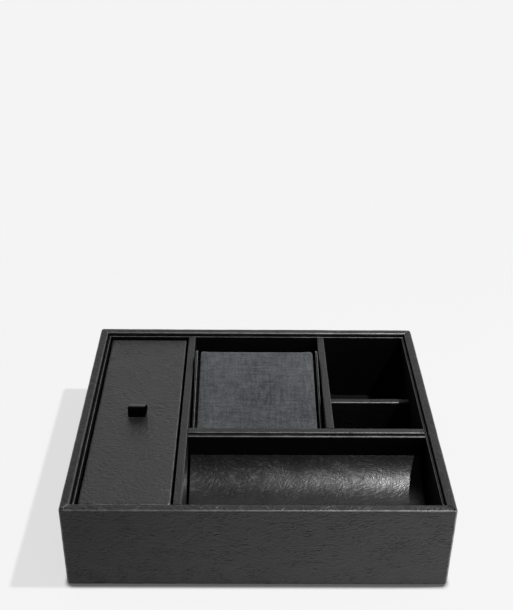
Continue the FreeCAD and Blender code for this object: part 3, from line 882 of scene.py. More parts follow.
@dataclass
class Casing(Assembly):
    """Four walls wrapped in leather, and the felt under the base.

    Towards a mitre the rim swells to a ridge and then sinks into the joint: gaps are the distances
    from the joint, with the share of the ridge and of the groove at each. Every corner has its own
    ridge and groove, in the order of the sides.
    """

    rim_radius: float = 1.15 * MM
    foot_radius: float = 1.6 * MM
    corner_radius: float = 1.6 * MM
    row_step: float = 2.0 * MM
    column_step: float = 1.6 * MM
    inner_step: float = 8.0 * MM
    rim_step: float = 0.7 * MM
    turned_under: float = 0.6
    turns: int = 6
    corner_turns: int = 4
    # Fold given to the corner roundings and the mitre ridges: it brings polish and the lighter fold colour,
    # which is partly a painted highlight.
    worn_and_highlit: float = 0.9
    flat_top: float = 0.9
    ridges: tuple[float, ...] = (0.34 * MM, 0.3 * MM, 0.1 * MM, 0.02 * MM)
    grooves: tuple[float, ...] = (0.1 * MM, 0.8 * MM, 0.3 * MM, 0.0)
    gaps: tuple[float, ...] = (0.0, 0.12 * MM, 0.26 * MM, 0.42 * MM, 0.65 * MM, 0.95 * MM, 1.3 * MM)
    swell: tuple[float, ...] = (0.15, 0.45, 0.8, 1.0, 0.75, 0.3, 0.0)
    sink: tuple[float, ...] = (1.0, 0.9, 0.4, 0.0, 0.0, 0.0, 0.0)
    sides: tuple[tuple[str, int], ...] = (("front", 0), ("right", 90), ("back", 180), ("left", -90))

    def section(self, thickness: float, low: float, high: float) -> list[tuple[float, ...]]:
        """Traces a wall's section from the inner foot, over the rim and down to the outer foot.

        Args:
            thickness: Wall thickness with its leather.
            low: Height of the foot.
            high: Height of the rim.

        Returns:
            For each point its inset, height, the two parts of its normal, and how folded it is.
        """
        rim, foot = self.rim_radius, self.foot_radius

        def rounding(inset: float, height: float, radius: float, quarter: int) -> list[tuple[float, ...]]:
            """Rounds one edge of the section.

            Args:
                inset: Inset of the hub.
                height: Height of the hub.
                radius: Distance from the hub.
                quarter: Which quarter of the circle it is, counted from the inner side.

            Returns:
                The points between the two flats, as in the section.
            """
            angles = [RIGHT_ANGLE * (quarter + n / self.turns) for n in range(1, self.turns)]
            return [(inset + radius * math.cos(a), height + radius * math.sin(a), math.cos(a), math.sin(a),
                     abs(math.sin(2 * a))) for a in angles]

        return [
            *((thickness, z, 1.0, 0.0, 0.0) for z in steps(low, high - rim, self.inner_step)),
            *rounding(thickness - rim, high - rim, rim, 0),
            *((inset, high, 0.0, 1.0, 0.0) for inset in steps(rim, thickness - rim, self.rim_step)[::-1]),
            *rounding(rim, high - rim, rim, 1),
            *((0.0, z, -1.0, 0.0, 0.0) for z in steps(low + foot, high - rim, self.row_step)[::-1]),
            *rounding(foot, low + foot, foot, 2),
            *((inset, low, 0.0, -1.0, 0.0) for inset in (foot, thickness * self.turned_under)),
        ]

    def columns(self, half: float) -> list[tuple[Stretch, float, float, float, int]]:
        """Lays out a wall's columns from its left end to its right end.

        Args:
            half: Half the wall's length.

        Returns:
            For each column its stretch, its angle, gap or share of the way along, its shares of the
            ridge and the groove, and which end it belongs to.
        """
        angles = [RIGHT_ANGLE / 2 * n / self.corner_turns for n in range(self.corner_turns, 0, -1)]
        end = [(Stretch.CORNER, angle, self.swell[0], self.sink[0]) for angle in angles]
        end += [(Stretch.MITRE, *values) for values in zip(self.gaps, self.swell, self.sink)]
        shares = steps(-1.0, 1.0, self.column_step / half)[1:-1]
        middle = [(Stretch.MIDDLE, share, 0.0, 0.0, 1) for share in shares]
        return [(*column, -1) for column in end] + middle + [(*column, 1) for column in end[::-1]]

    def wall(self, side: str, turn: int) -> Piece:
        """Builds the wrap of one wall, mitred at both ends, with the corner's rounding shared.

        Args:
            side: Name of the side.
            turn: Where it stands about the upright axis, in degrees.

        Returns:
            The unfinished piece.
        """
        low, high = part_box(f"{side}_wall_cover")
        half, outward = abs(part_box("left_wall_cover")[0].x), abs(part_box("front_wall_cover")[0].y)
        thickness = high.y - low.y
        if turn % 180:
            half, outward, thickness = outward, half, high.x - low.x
        first_corner = [name for name, _ in self.sides].index(side)
        section = self.section(thickness, low.z, high.z)
        corner, rows = self.corner_radius, []
        for stretch, amount, near, deep, end in self.columns(half):
            which = (first_corner + max(end, 0)) % len(self.sides)
            row = []
            for inset, height, out, up, folded in section:
                x, y, nx, ny = half - max(corner, inset), inset, 0.0, out
                inland = min(1.0, inset / corner) * max(0.0, up)
                if stretch is Stretch.MIDDLE:
                    x = (x - self.gaps[-1]) * amount
                elif stretch is Stretch.MITRE:
                    x -= amount
                elif inset < corner:
                    x += (corner - inset) * math.sin(amount)
                    y = corner - (corner - inset) * math.cos(amount)
                    nx, ny = -out * math.sin(amount), out * math.cos(amount)
                    folded = max(folded, math.sin(2 * amount) * self.worn_and_highlit if up < self.flat_top else folded)
                    inland = 0.0
                lift = inland * (self.ridges[which] * near - self.grooves[which] * deep)
                row.append(((x * end, y - outward, height + lift), (nx * end, ny, up),
                            max(folded, self.worn_and_highlit * near * inland)))
            rows.append(row)
        shape = swept(rows)
        swing = np.array(Matrix.Rotation(math.radians(turn), 3, "Z"))
        shape.points, shape.normals = shape.points @ swing.T, shape.normals @ swing.T
        shape.ripple(depth=0.05 * MM, pitch=11 * MM, seed=3, on_fold=0.05 * MM)
        shape.ripple(depth=0.02 * MM, pitch=3.5 * MM, seed=5, on_fold=0.05 * MM)
        return shape.make(f"{side}_wall_wrap", merge=0.001 * MM)

    def build(self) -> None:
        """Builds the walls, matches their shading at the corners, and lays the felt."""
        walls = [self.wall(side, turn) for side, turn in self.sides]
        share_normals(walls)
        for piece, (side, turn) in zip(walls, self.sides):
            finish = "wall_leather_across" if turn % 180 == 0 else "wall_leather_lengthwise"
            self.settle(piece, finish, "case", "satin_leather", f"{side}_wall_cover")
        low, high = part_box("base_pad")
        felt = rounded_box(low, high, radii=(0.35 * MM,) * 3, step=3 * MM)
        felt.ripple(depth=0.06 * MM, pitch=2.5 * MM, seed=7)
        self.settle(felt.make("felt_base"), "base_felt", "case", "felt", "base_pad")


@dataclass
class Boards(Assembly):
    """The raw boards inside the wrapping, which keep their own solids."""

    def build(self) -> None:
        """Gives every board of the record's fibreboard slot its finish."""
        for part in frame["record"]["subparts"]:
            if part["material_slot"] == "fibreboard":
                self.wardrobe.hang(frame["nodes"][part["node"]], "fibreboard")
                log.info("%s: fibreboard", part["node"])


# ---- Linings and dividers -----------------------------------------------------------------------


@dataclass(frozen=True)
class Card:
    """One leather-covered card or board and how it is dressed."""

    node: str
    name: str
    finish: str
    slot: str
    radii: Triple
    wave: float = 0.06 * MM
    step: float = 2.2 * MM


@dataclass
class Linings(Assembly):
    """Cards against the walls and on the floors, ledges under the lid, and wrapped dividers."""

    card_edge: float = 0.38 * MM
    ledge_edge: float = 0.6 * MM
    divider_edge: float = 1.0 * MM
    tray_wall_edge: float = 0.9 * MM
    butt: float = 0.22 * MM
    long_ripple: float = 12.0 * MM
    short_ripple: float = 4.0 * MM
    short_share: float = 0.3
    fold_share: float = 0.4
    first_seed: int = 11
    seeds_apart: int = 50

    def cards(self) -> list[Card]:
        """Lists every card and divider of the casing.

        Returns:
            The cards, in the order of their ripples.
        """
        lining, thin = "lining_leather", (self.card_edge,) * 3
        edge, butt = self.divider_edge, self.butt
        cards = [Card(f"{side}_liner", f"{side}_lining", lining, lining, thin)
                 for side in ("front", "back", "left", "right")]
        cards += [Card(f"{room}_floor", f"{room}_floor_lining", lining, lining, thin, wave=0.1 * MM)
                  for room in ("lid_box", "pad_bay", "front_cell", "rear_cell")]
        cards += [Card(f"{end}_lid_ledge", f"{end}_ledge_wrap", lining, lining,
                       (butt, self.ledge_edge, self.ledge_edge)) for end in ("front", "back")]
        ways = (("divider_leather_across", (butt, edge, edge)),
                ("divider_leather_lengthwise", (edge, butt, edge)))
        for name, way in (("long", 1), ("short", 1), ("cross", 0), ("low", 0)):
            finish, radii = ways[way]
            cards.append(Card(f"{name}_divider_cover", f"{name}_divider_wrap", finish, "divider_leather",
                              radii, wave=0.08 * MM, step=1.5 * MM))
        # The tray's rear card takes the darker lining finish: painted shade for the back of the tray.
        cards.append(Card("tray_rear_wall", "tray_rear_card", lining, "tray_leather",
                          (butt, self.tray_wall_edge, self.tray_wall_edge), wave=0.08 * MM, step=1.5 * MM))
        return cards

    def build(self) -> None:
        """Builds every card, each with its own ripple, and the phone's step."""
        for seed, card in enumerate(self.cards(), start=self.first_seed):
            shape = rounded_box(*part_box(card.node), card.radii, card.step)
            shape.ripple(card.wave, self.long_ripple, seed, card.wave * self.fold_share)
            shape.ripple(card.wave * self.short_share, self.short_ripple, seed + self.seeds_apart)
            self.settle(shape.make(card.name), card.finish, "case", card.slot, card.node)
        self.phone_step()

    def phone_step(self) -> None:
        """Builds the wrap of the block that a phone stands on, with the front edge folded over."""
        radii = (self.butt, self.divider_edge, self.divider_edge)
        shape = rounded_box(*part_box("phone_step_cover"), radii, step=2.5 * MM)
        shape.ripple(depth=0.08 * MM, pitch=11 * MM, seed=41, on_fold=0.05 * MM)
        self.settle(shape.make("phone_step_wrap"), "divider_leather_across", "case", "divider_leather",
                    "phone_step_cover")
        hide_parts("phone_step_block")


@dataclass
class FrontTray(Assembly):
    """The tray's floor, a leather-covered card bent to a trough."""

    card: float = 1.4 * MM
    edge: float = 0.3 * MM
    lip: float = 0.12 * MM
    step: float = 1.3 * MM
    underside: float = 0.985
    softest: float = 0.3

    def build(self) -> None:
        """Builds the trough between its two edges, its ends softly rounded."""
        low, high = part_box("tray_floor")
        half, dip = (high.y - low.y) / 2, high.z - low.z - self.card
        radius = (half**2 + dip**2) / (2 * dip)
        centre_y, centre_z = (low.y + high.y) / 2, low.z + self.card + radius
        swing = math.asin(half / radius)
        between = steps(-swing, swing, self.step / radius)[1:-1]
        angles = [-swing, self.lip / radius - swing, *between, swing - self.lip / radius, swing]
        ring = [(radius, angle, -1.0) for angle in angles]
        ring += [(radius + self.card, angle * self.underside, 1.0) for angle in angles[::-1]]
        soft = self.edge * self.softest
        ends = ((0.0, self.edge), (soft, soft), (self.edge, 0.0))
        stations = [(low.x + inset, tuck) for inset, tuck in ends]
        stations += [(x, 0.0) for x in steps(low.x + self.edge, high.x - self.edge, self.step)[1:-1]]
        stations += [(high.x - inset, tuck) for inset, tuck in ends[::-1]]

        def spot(x: float, reach: float, angle: float, side: float) -> Spot:
            """Returns one point of the trough with its direction."""
            across, up = math.sin(angle), -math.cos(angle)
            return (x, centre_y + reach * across, centre_z + reach * up), (0.0, side * across, side * up), 0.0

        shape = swept([[spot(x, reach - side * tuck, angle, side) for reach, angle, side in ring]
                       for x, tuck in stations])
        shape.ripple(depth=0.1 * MM, pitch=14 * MM, seed=61).ripple(depth=0.05 * MM, pitch=5 * MM, seed=62)
        np.clip(shape.points, np.array(low), np.array(high), out=shape.points)
        self.settle(shape.make("tray_trough"), "tray_leather", "case", "tray_leather", "tray_floor")


# ---- Lid ----------------------------------------------------------------------------------------


@dataclass
class LiftOffLid(Assembly):
    """The lid's leather cover with its slit, the suede under it and the ribbon loop.

    Each row of lips is how far one ring of the slit's lip goes in and down, and how folded it is.
    Only points further than straight from the slit's middle go in along X.
    """

    top_radius: float = 1.15 * MM
    step: float = 1.7 * MM
    crown: float = 0.12 * MM
    slit_half: float = 1.55 * MM
    slit_margin: float = 0.15 * MM
    straight: float = 5.0 * MM
    hollow: float = 0.22 * MM
    hollow_reach: Triple = (8.0 * MM, 5.0 * MM, 8.0 * MM)
    lips: tuple[Triple, ...] = ((0.0, 0.0, 0.3), (0.06 * MM, 0.04 * MM, 0.9), (0.13 * MM, 0.13 * MM, 0.6),
                                (0.16 * MM, 0.26 * MM, 0.0), (0.16 * MM, 0.4 * MM, 0.0))
    ribbon: float = 0.6 * MM
    ribbon_edge: float = 0.35
    tail: float = 8.0 * MM
    bulge: float = 2.3 * MM
    lean: float = 1.2 * MM
    slack: float = 1.6 * MM
    shift: float = 1.6 * MM
    sag: float = 1.3 * MM
    # How far down from the loop's top the lighter colour of the painted highlight and rubbing reaches.
    rub_and_highlight: float = 1.1 * MM
    threads: int = 15
    knot_steps: int = 6

    def cover(self) -> None:
        """Builds the cover: a soft crowned slab, dented round a slit whose lips turn down."""
        low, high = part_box("lid_cover")
        tab_low, tab_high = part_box("pull_tab")
        middle = (tab_low.y + tab_high.y) / 2 + self.shift
        x_span = (tab_low.x - self.slit_margin, tab_high.x - self.lean + self.slit_margin)
        y_span = (middle - self.slit_half, middle + self.slit_half)
        centre = np.array((sum(x_span) / 2, middle))
        half = np.array(((x_span[1] - x_span[0]) / 2, self.slit_half))
        shape = rounded_box(low, high, (self.top_radius,) * 3, self.step, (x_span, y_span, ()))
        spread = (shape.points - np.array((low + high) / 2)) / np.array((high - low) / 2)
        dome = (1 - spread[:, 0] ** 2) * (1 - spread[:, 1] ** 2)
        shape.points[:, 2] -= self.crown * np.clip(shape.normals[:, 2], 0, 1) * (1 - dome)

        def outside(point: np.ndarray) -> float:
            """Returns how far a point is outside the slit, below 0 in it and huge under the top."""
            return max(np.abs(point[:2] - centre) - half) if point[2] > high.z - self.top_radius else math.inf

        shape.faces = [face for face in shape.faces if outside(shape.points[face].mean(0)) > 0]
        rim = [n for n, point in enumerate(shape.points) if abs(outside(point)) < ON_LINE]
        rim.sort(key=lambda n: math.atan2(shape.points[n][1] - centre[1], shape.points[n][0] - centre[0]))
        top = shape.points[rim]
        away = top[:, :2] - centre
        inward = np.sign(away) * (np.abs(away) > (self.straight, 0.0))
        rows = [[((*(point[:2] - pull * into), point[2] - down), (0.0, 0.0, 0.0), fold)
                 for point, pull in zip(top, inward)] for into, down, fold in self.lips]
        lips = swept(rows, capped=False)
        shape.ripple(depth=0.14 * MM, pitch=16 * MM, seed=71, on_fold=0.05 * MM)
        shape.ripple(depth=0.025 * MM, pitch=5 * MM, seed=72, on_fold=0.03 * MM)
        lips.points[:len(rim)] = shape.points[rim]
        lips.faces.append(list(range(len(lips.points) - len(rim), len(lips.points))))
        shape = shape.join(lips)
        shape.dent((*centre, high.z), self.hollow_reach, self.hollow)
        self.settle(shape.make("lid_cover_leather"), "lid_leather", "lid", "satin_leather", "lid_cover")

    def lining(self) -> None:
        """Builds the suede on the lid's underside."""
        shape = rounded_box(*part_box("lid_lining"), radii=(0.25 * MM,) * 3, step=3 * MM)
        shape.ripple(depth=0.04 * MM, pitch=8 * MM, seed=75)
        self.settle(shape.make("lid_suede"), "lid_lining_suede", "lid", "suede", "lid_lining")

    def path(self, floor: float, top: float) -> np.ndarray:
        """Traces the ribbon's middle line from its front tail to its rear tail.

        Args:
            floor: Height of the tails' underside.
            top: Height of the loop's top.

        Returns:
            Rows of place along Y, height, and lean along X.
        """
        half, deep = self.ribbon / 2, floor + self.ribbon / 2
        inner = self.slack / 2 + half
        crown = top - half
        leg = [(self.tail, deep), (self.tail * 0.5, deep), (inner + 0.55 * MM, deep),
               (inner + 0.1 * MM, deep + 0.45 * MM), (inner, deep + 2.0 * MM)]
        knots = np.array([
            *((-y, z, 0.0) for y, z in leg),
            (-inner, crown - 5.0 * MM, 0.0), (-inner - 0.15 * MM, crown - 2.0 * MM, 0.1 * MM),
            (-0.8 * MM, crown - 0.25 * MM, 0.3 * MM), (0.1 * MM, crown, 0.55 * MM),
            (1.3 * MM, crown - 0.9 * MM, 0.9 * MM), (self.bulge, crown - 3.2 * MM, self.lean),
            (self.bulge - 0.4 * MM, crown - 5.5 * MM, self.lean * 0.8),
            (inner, crown - 8.0 * MM, self.lean * 0.3),
            *((y, z, 0.0) for y, z in leg[::-1]),
        ])
        line = []
        for n in range(len(knots) - 1):
            before, first, last, after = (knots[min(max(n + k, 0), len(knots) - 1)] for k in (-1, 0, 1, 2))
            for t in np.arange(0, 1, 1 / self.knot_steps):
                line.append(0.5 * (2 * first + (last - before) * t
                                   + (2 * before - 5 * first + 4 * last - after) * t**2
                                   + (3 * first - before - 3 * last + after) * t**3))
        return np.array(line + [knots[-1]])

    def tab(self) -> None:
        """Builds the pull tab: one ribbon, its two legs through the slit, its top fold soft."""
        low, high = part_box("pull_tab")
        middle_x, middle_y = (low.x + high.x) / 2, (low.y + high.y) / 2 + self.shift
        half_width = (high.x - low.x) / 2
        top = high.z - self.sag
        line = self.path(low.z, top)
        ways = np.gradient(line[:, :2], axis=0)
        ways /= np.linalg.norm(ways, axis=1, keepdims=True)
        runs = np.concatenate([[0], np.cumsum(np.linalg.norm(np.diff(line[:, :2], axis=0), axis=1))])
        # The fold here marks the top band that takes the painted highlight colour.
        turned = np.clip(1 - (top - line[:, 1]) / self.rub_and_highlight, 0, 1)
        shares = np.linspace(-1, 1, self.threads)
        around = [(1, share) for share in shares] + [(-1, share) for share in shares[::-1]]
        rows, lay = [], []
        for (y, z, lean), (way_y, way_z), run, fold in zip(line, ways, runs, turned):
            row = []
            for side, share in around:
                thin = self.ribbon / 2 * (self.ribbon_edge if abs(share) == 1 else 1.0)
                out = (0.0, -way_z * side, way_y * side)
                x = middle_x + share * (half_width - self.lean / 2) - self.lean / 2 + lean
                row.append(((x, middle_y + y + out[1] * thin, z + out[2] * thin), out, fold))
                lay.append((share * half_width, run, 0.0))
            rows.append(row)
        shape = swept(rows).ripple(depth=0.05 * MM, pitch=3 * MM, seed=81)
        np.clip(shape.points, np.array(low), np.array(high), out=shape.points)
        piece = shape.make("ribbon_pull", merge=0.0005 * MM)
        gaps = ((read_points(piece)[:, None] - shape.points[None]) ** 2).sum(2)
        stored = np.array(lay, np.float32)[gaps.argmin(1)]
        piece.data.attributes.new("lay", "FLOAT_VECTOR", "POINT").data.foreach_set("vector", stored.ravel())
        self.settle(piece, "black_ribbon", "lid", "ribbon", "pull_tab")

    def build(self) -> None:
        """Builds the cover, its lining and the tab."""
        self.cover()
        self.lining()
        self.tab()


# ---- Watch pad ----------------------------------------------------------------------------------


@dataclass
class WatchPad(Assembly):
    """A foam wedge in suede between two thin glossy end boards."""

    round_radius: float = 1.6 * MM
    front_height: float = 39.1 * MM
    rear_height: float = 54.5 * MM
    depth: float = 62.5 * MM
    proud: float = 0.05 * MM
    foam_inset: float = 3.5 * MM
    foam_gap: float = 0.02 * MM
    below_corner: float = 1.4
    shortest: float = 0.05 * MM
    step: float = 3.0 * MM
    corner_turns: int = 6
    voxel: float = 1.3 * MM
    stuffed: float = 0.1 * MM
    overhang: float = 0.3 * MM
    bulge: Triple = (0.75 * MM, 0.4 * MM, 0.6 * MM)
    swell: float = 0.7 * MM
    resting: float = 4.0 * MM
    pressure: float = 4.0
    frames: int = 20
    enlarge: float = 12.0

    def side_view(self, grow: float, bottom: float) -> list[Pair]:
        """Traces the wedge seen from its side.

        Args:
            grow: How far the outline stands outside the suede's own.
            bottom: Height of the underside.

        Returns:
            Y and Z of each point, clockwise from the front foot.
        """
        low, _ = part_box("pad_suede")
        front, back = low.y - grow, low.y + self.depth + grow
        slope = (self.rear_height - self.front_height) / self.depth
        lift, radius = grow * math.sqrt(1 + slope**2), self.round_radius
        upright = RIGHT_ANGLE + math.atan(slope)

        def top(y: float) -> float:
            """Returns the height of the slope at y."""
            return self.front_height + slope * (y - low.y) + lift

        def rounding(y: float, inward: int, start: float, end: float) -> list[Pair]:
            """Rounds one upper corner.

            Args:
                y: Where the upright side stands.
                inward: 1 or -1, the way from that side to the middle.
                start: Angle of the first point.
                end: Angle of the last point.

            Returns:
                The points, from the first angle to the last.
            """
            hub_y, hub_z = y + inward * radius, top(y) - radius * math.tan((start - end) / 2)
            return [(hub_y + radius * math.cos(angle), hub_z + radius * math.sin(angle))
                    for angle in np.linspace(start, end, self.corner_turns + 1)]

        ahead, behind = rounding(front, 1, math.pi, upright), rounding(back, -1, upright, 0.0)
        (first_y, first_z), (last_y, last_z) = ahead[-1], behind[0]
        shoulder = top(front) - radius * self.below_corner
        outline = [(front, z) for z in steps(bottom, shoulder, self.step)] + ahead
        outline += [(first_y + (last_y - first_y) * share, first_z + (last_z - first_z) * share)
                    for share in steps(0.0, 1.0, self.step / self.depth)[1:-1]] + behind
        outline += [(back, z) for z in steps(bottom, outline[-1][1], self.step)[::-1]]
        trimmed = outline[:1]
        for point in outline[1:]:
            if math.dist(point, trimmed[-1]) > self.shortest:
                trimmed.append(point)
        return trimmed

    @staticmethod
    def slab(outline: list[Pair], left: float, right: float, edge: float, middle: int = 0) -> Shape:
        """Gives an outline its width, with softened edges.

        Args:
            outline: Y and Z round its side.
            left: Its lowest X.
            right: Its highest X.
            edge: Rounding of the two side edges.
            middle: Extra stations between the sides.

        Returns:
            The closed shape.
        """
        ring = np.array(outline)
        ways = np.roll(ring, -1, 0) - np.roll(ring, 1, 0)
        outs = np.stack([-ways[:, 1], ways[:, 0]], 1)
        outs /= np.linalg.norm(outs, axis=1, keepdims=True)
        turns = [math.radians(angle) for angle in (0, 30, 60, 90)]
        ends = [(edge * (1 - math.cos(a)), edge * (1 - math.sin(a)), math.sin(2 * a)) for a in turns]
        inner = steps(left + edge, right - edge, (right - left) / (middle + 1))[1:-1]
        stations = [(left + inset, tuck, fold) for inset, tuck, fold in ends]
        stations += [(x, 0.0, 0.0) for x in inner]
        stations += [(right - inset, tuck, fold) for inset, tuck, fold in ends[::-1]]
        return swept([[((x, y - out_y * tuck, z - out_z * tuck), (0.0, out_y, out_z), fold)
                       for (y, z), (out_y, out_z) in zip(ring, outs)] for x, tuck, fold in stations])

    def cushion(self) -> None:
        """Builds the suede cushion, swollen by its foam and flat where it rests."""
        low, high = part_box("pad_suede")
        shape = self.slab(self.side_view(self.stuffed, low.z), low.x - self.overhang, high.x + self.overhang,
                          edge=0.5 * MM, middle=16)
        piece = shape.make("suede_cushion")
        remesh = piece.modifiers.new("even", "REMESH")
        remesh.mode, remesh.voxel_size = "VOXEL", self.voxel
        apply_modifiers(piece)
        self.inflate(piece)
        shell = piece.modifiers.new("smooth", "SUBSURF")
        shell.levels = shell.render_levels = 1
        apply_modifiers(piece)
        bulge = np.array(self.bulge)
        least, most = np.array(low) - bulge * (1, 1, 0), np.array(high) + bulge
        write_points(piece, np.clip(read_points(piece), least, most))
        piece.data.polygons.foreach_set("use_smooth", [True] * len(piece.data.polygons))
        self.settle(piece, "charcoal_suede", "watch_pad", "suede", "pad_suede")

    def inflate(self, piece: Piece) -> None:
        """Runs the cushion as cloth under pressure and keeps a capped share of its swelling.

        It is enlarged while it runs, because cloth behaves at the size of a large cushion.

        Args:
            piece: The cushion.
        """
        rest = read_points(piece)
        centre = rest.mean(0)
        write_points(piece, (rest - centre) * self.enlarge)
        cloth = piece.modifiers.new("cloth", "CLOTH")
        cloth.settings.use_pressure = True
        cloth.settings.uniform_pressure_force = self.pressure
        cloth.settings.effector_weights.gravity = 0.0
        cloth.point_cache.frame_end = self.frames
        scene = bpy.context.scene
        for step in range(1, self.frames + 1):
            scene.frame_set(step)
        swollen = read_points(piece.evaluated_get(bpy.context.evaluated_depsgraph_get()))
        piece.modifiers.remove(cloth)
        scene.frame_set(1)
        push = swollen / self.enlarge + centre - rest
        length = np.linalg.norm(push, axis=1, keepdims=True)
        log.info("cushion swells %.2f mm at most before the cap", length.max() / MM)
        push *= np.minimum(1.0, self.swell / np.maximum(length, ROUNDING))
        push[rest[:, 2] < rest[:, 2].min() + self.resting, 2] = 0.0
        write_points(piece, rest + push)

    def build(self) -> None:
        """Builds the cushion, the foam behind its sides and the two end boards."""
        self.cushion()
        low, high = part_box("pad_foam")
        outline = self.side_view(-self.foam_inset, low.z)
        foam = self.slab(outline, low.x + self.foam_gap, high.x - self.foam_gap, edge=0.3 * MM, middle=2)
        self.settle(foam.make("foam_wedge"), "dark_foam", "watch_pad", "foam", "pad_foam")
        for side in ("left", "right"):
            low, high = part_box(f"pad_{side}_end")
            board = self.slab(self.side_view(self.proud, low.z), low.x, high.x, edge=0.45 * MM)
            board.ripple(depth=0.03 * MM, pitch=6 * MM, seed=91)
            self.settle(board.make(f"pad_{side}_board"), "pad_end_leather", "watch_pad", "pad_end_leather",
                        f"pad_{side}_end")


# ---- Studio -------------------------------------------------------------------------------------


@dataclass(frozen=True)
class Viewpoint:
    """Where the camera stands and how it is turned, in metres and degrees."""

    place: Triple = (-0.006683, -0.425911, 0.371286)
    pitch: float = 30.9336
    yaw: float = 0.7519
    roll: float = 0.6825
    lens: float = 57.44
    sensor: float = 36.0
    nearest: float = 0.01

    def build(self) -> None:
        """Adds the camera and makes it the scene's own."""
        pitch, yaw, roll = (math.radians(angle) for angle in (self.pitch, self.yaw, self.roll))
        ahead = Vector((math.sin(yaw) * math.cos(pitch), math.cos(yaw) * math.cos(pitch), -math.sin(pitch)))
        right = Vector((math.cos(yaw), -math.sin(yaw), 0.0))
        up = right.cross(ahead)
        turned_right = right * math.cos(roll) + up * math.sin(roll)
        turned_up = up * math.cos(roll) - right * math.sin(roll)
        turned = Matrix((turned_right, turned_up, -ahead)).transposed().to_4x4()
        data = bpy.data.cameras.new("camera")
        data.lens, data.sensor_width, data.clip_start = self.lens, self.sensor, self.nearest
        camera = bpy.data.objects.new("camera", data)
        bpy.context.scene.collection.objects.link(camera)
        camera.matrix_world = Matrix.Translation(self.place) @ turned
        bpy.context.scene.camera = camera


@dataclass(frozen=True)
class Lamp:
    """One lamp: its place, power in watts, sizes in metres and what it is aimed at.

    With one size it is a small ball, with two a panel of that width and depth.
    """

    name: str
    place: Triple
    power: float
    size: tuple[float, ...]
    aim: Triple = (0.0, 0.0, 0.02)

    def build(self) -> None:
        """Adds the lamp."""
        panel = len(self.size) == 2
        data = bpy.data.lights.new(self.name, "AREA" if panel else "POINT")
        data.energy = self.power
        if panel:
            data.shape = "RECTANGLE"
            data.size, data.size_y = self.size
        else:
            data.shadow_soft_size = self.size[0] / 2
        lamp = bpy.data.objects.new(self.name, data)
        lamp.location = self.place
        lamp.rotation_euler = (Vector(self.aim) - Vector(self.place)).to_track_quat("-Z", "Y").to_euler()
        bpy.context.scene.collection.objects.link(lamp)


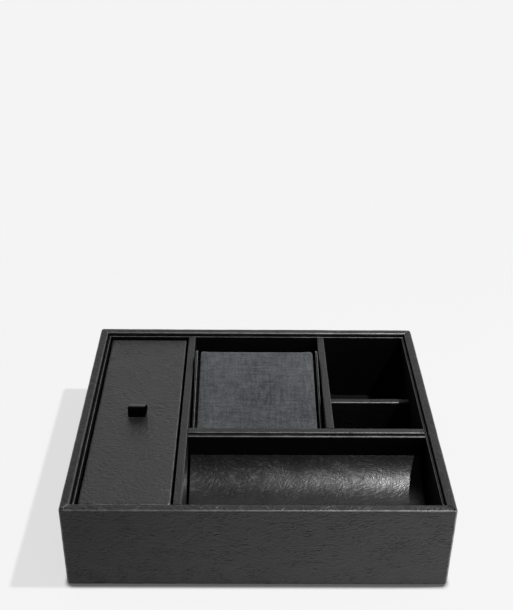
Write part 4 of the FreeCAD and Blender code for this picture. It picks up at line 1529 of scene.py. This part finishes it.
@dataclass(frozen=True)
class Studio:
    """A pale table that runs into a pale room with a dim ceiling, one small key lamp and a fill.

    The ceiling is a cap round an axis that leans to the front, so it comes lower there. The table's
    own glow carries a painted contact shadow, a soft dark line where something touches it. The glow
    is also painted a little darker towards the right where it is seen, against the key lamp's
    falloff, and much lighter towards the right where it is mirrored, a painted reflection of light
    from the right.
    """

    backdrop: float = 0.905
    fill: float = 0.22
    ceiling: float = 0.02
    ceiling_axis: Triple = (-0.32, -0.46, 0.83)
    ceiling_edge: Pair = (0.1, 0.7)
    table: float = 0.9
    glow: float = 0.75
    pale: float = 0.89
    painted_shade_slope: float = -0.25
    painted_light_slope: float = 4.5
    sloping: float = 0.15
    contact: float = 3.2 * MM
    contact_edge: Pair = (0.5, 0.97)
    painted_contact_shadow: float = 0.13
    contact_samples: int = 16
    fade: Pair = (0.16, 0.42)
    fade_shape: Triple = (1.0, 1.1, 0.0)
    half_size: float = 3.0
    lamps: tuple[Lamp, ...] = (
        Lamp("key", place=(0.528, -0.06, 1.127), power=60.0, size=(0.05,)),
        Lamp("right_fill", place=(0.75, -0.85, 0.45), power=0.8, size=(0.5, 0.5)),
    )

    def room(self) -> None:
        """Lights the world: the backdrop's tone where it is seen, plain fill elsewhere.

        Where it is mirrored it has the backdrop's tone too, up to the dim ceiling.
        """
        world = bpy.data.worlds.new("room")
        world.use_nodes = True
        bpy.context.scene.world = world
        wires = Wiring(world.node_tree)
        wires.tree.nodes.clear()
        way = wires.node("TexCoord").outputs["Generated"]
        above = wires.ramp(wires.number("DOT_PRODUCT", way, self.ceiling_axis), *self.ceiling_edge)
        mirrored = wires.node("LightPath").outputs["Is Glossy Ray"]
        shade = wires.between(wires.maths("MULTIPLY", above, mirrored), self.backdrop, self.ceiling)
        tone = wires.node("CombineXYZ", {0: shade, 1: shade, 2: shade}).outputs[0]
        shown = wires.node("Background", {"Color": tone})
        light = wires.node("Background", {"Color": (self.fill,) * 3})
        mixed = wires.node("MixShader", {0: self.seen(wires), 1: light.outputs[0], 2: shown.outputs[0]})
        wires.node("OutputWorld", {0: mixed.outputs[0]})

    @staticmethod
    def seen(wires: Wiring) -> Socket:
        """Tells which rays see the backdrop itself.

        Args:
            wires: Wiring of the material or the world.

        Returns:
            1 for a ray from the camera, off a gloss or through a clear piece.
        """
        path = wires.node("LightPath").outputs
        first = wires.maths("MAXIMUM", path["Is Camera Ray"], path["Is Glossy Ray"])
        return wires.maths("MAXIMUM", first, path["Is Transmission Ray"])

    def floor(self) -> None:
        """Lays the table, which fades into the room away from the box."""
        mesh = bpy.data.meshes.new("table")
        half = self.half_size
        corners = [(-half, -half, 0), (half, -half, 0), (half, half, 0), (-half, half, 0)]
        mesh.from_pydata(corners, [], [[0, 1, 2, 3]])
        table = bpy.data.objects.new("table", mesh)
        bpy.context.scene.collection.objects.link(table)
        material = bpy.data.materials.new("pale_table")
        material.use_nodes = True
        wires = Wiring(material.node_tree)
        wires.tree.nodes.clear()
        place = wires.local()
        away = wires.number("LENGTH", wires.vector("MULTIPLY", place, self.fade_shape))
        # Painted light: the glow is a little darker towards the right where it is seen, against the key
        # lamp's falloff, and much lighter towards the right where it is mirrored, a painted reflection of
        # light from the right.
        across = wires.node("SeparateXYZ", {0: place}).outputs[0]
        held = wires.node("Clamp", {0: across, 1: -self.sloping, 2: self.sloping}).outputs[0]
        mirrored = wires.node("LightPath").outputs["Is Glossy Ray"]
        slope = wires.between(mirrored, self.painted_shade_slope, self.painted_light_slope)
        sloped = wires.maths("ADD", 1.0, wires.maths("MULTIPLY", held, slope))
        # Painted contact shadow: the glow dims where the table is closed in by something touching it.
        open_sky = wires.node("AmbientOcclusion", {"Distance": self.contact}, samples=self.contact_samples)
        openness = wires.ramp(open_sky.outputs["AO"], *self.contact_edge)
        strength = wires.maths("MULTIPLY", sloped, wires.between(openness, self.painted_contact_shadow, 1.0))
        matt = wires.node("BsdfDiffuse", {"Color": (self.table,) * 3})
        pale = wires.node("Emission", {"Color": (self.pale,) * 3, "Strength": strength})
        share = wires.maths("MULTIPLY", self.seen(wires), self.glow)
        lit = wires.node("MixShader", {0: share, 1: matt.outputs[0], 2: pale.outputs[0]})
        clear = wires.node("BsdfTransparent")
        faded = wires.ramp(away, *self.fade)
        mixed = wires.node("MixShader", {0: faded, 1: lit.outputs[0], 2: clear.outputs[0]})
        wires.node("OutputMaterial", {0: mixed.outputs[0]})
        mesh.materials.append(material)

    def build(self) -> None:
        """Builds the room, the table and the lamps, and sets the plain view."""
        self.room()
        self.floor()
        for lamp in self.lamps:
            lamp.build()
        bpy.context.scene.view_settings.view_transform = "Standard"
        log.info("studio: %d lamps", len(self.lamps))


def main() -> None:
    """Builds the studio and every sub-assembly."""
    Viewpoint().build()
    Studio().build()
    wardrobe = Wardrobe()
    for assembly in (Casing, Boards, Linings, FrontTray, LiftOffLid, WatchPad):
        assembly(wardrobe).build()
        log.info("%s done", assembly.__name__)


if __name__ == "__main__":
    main()
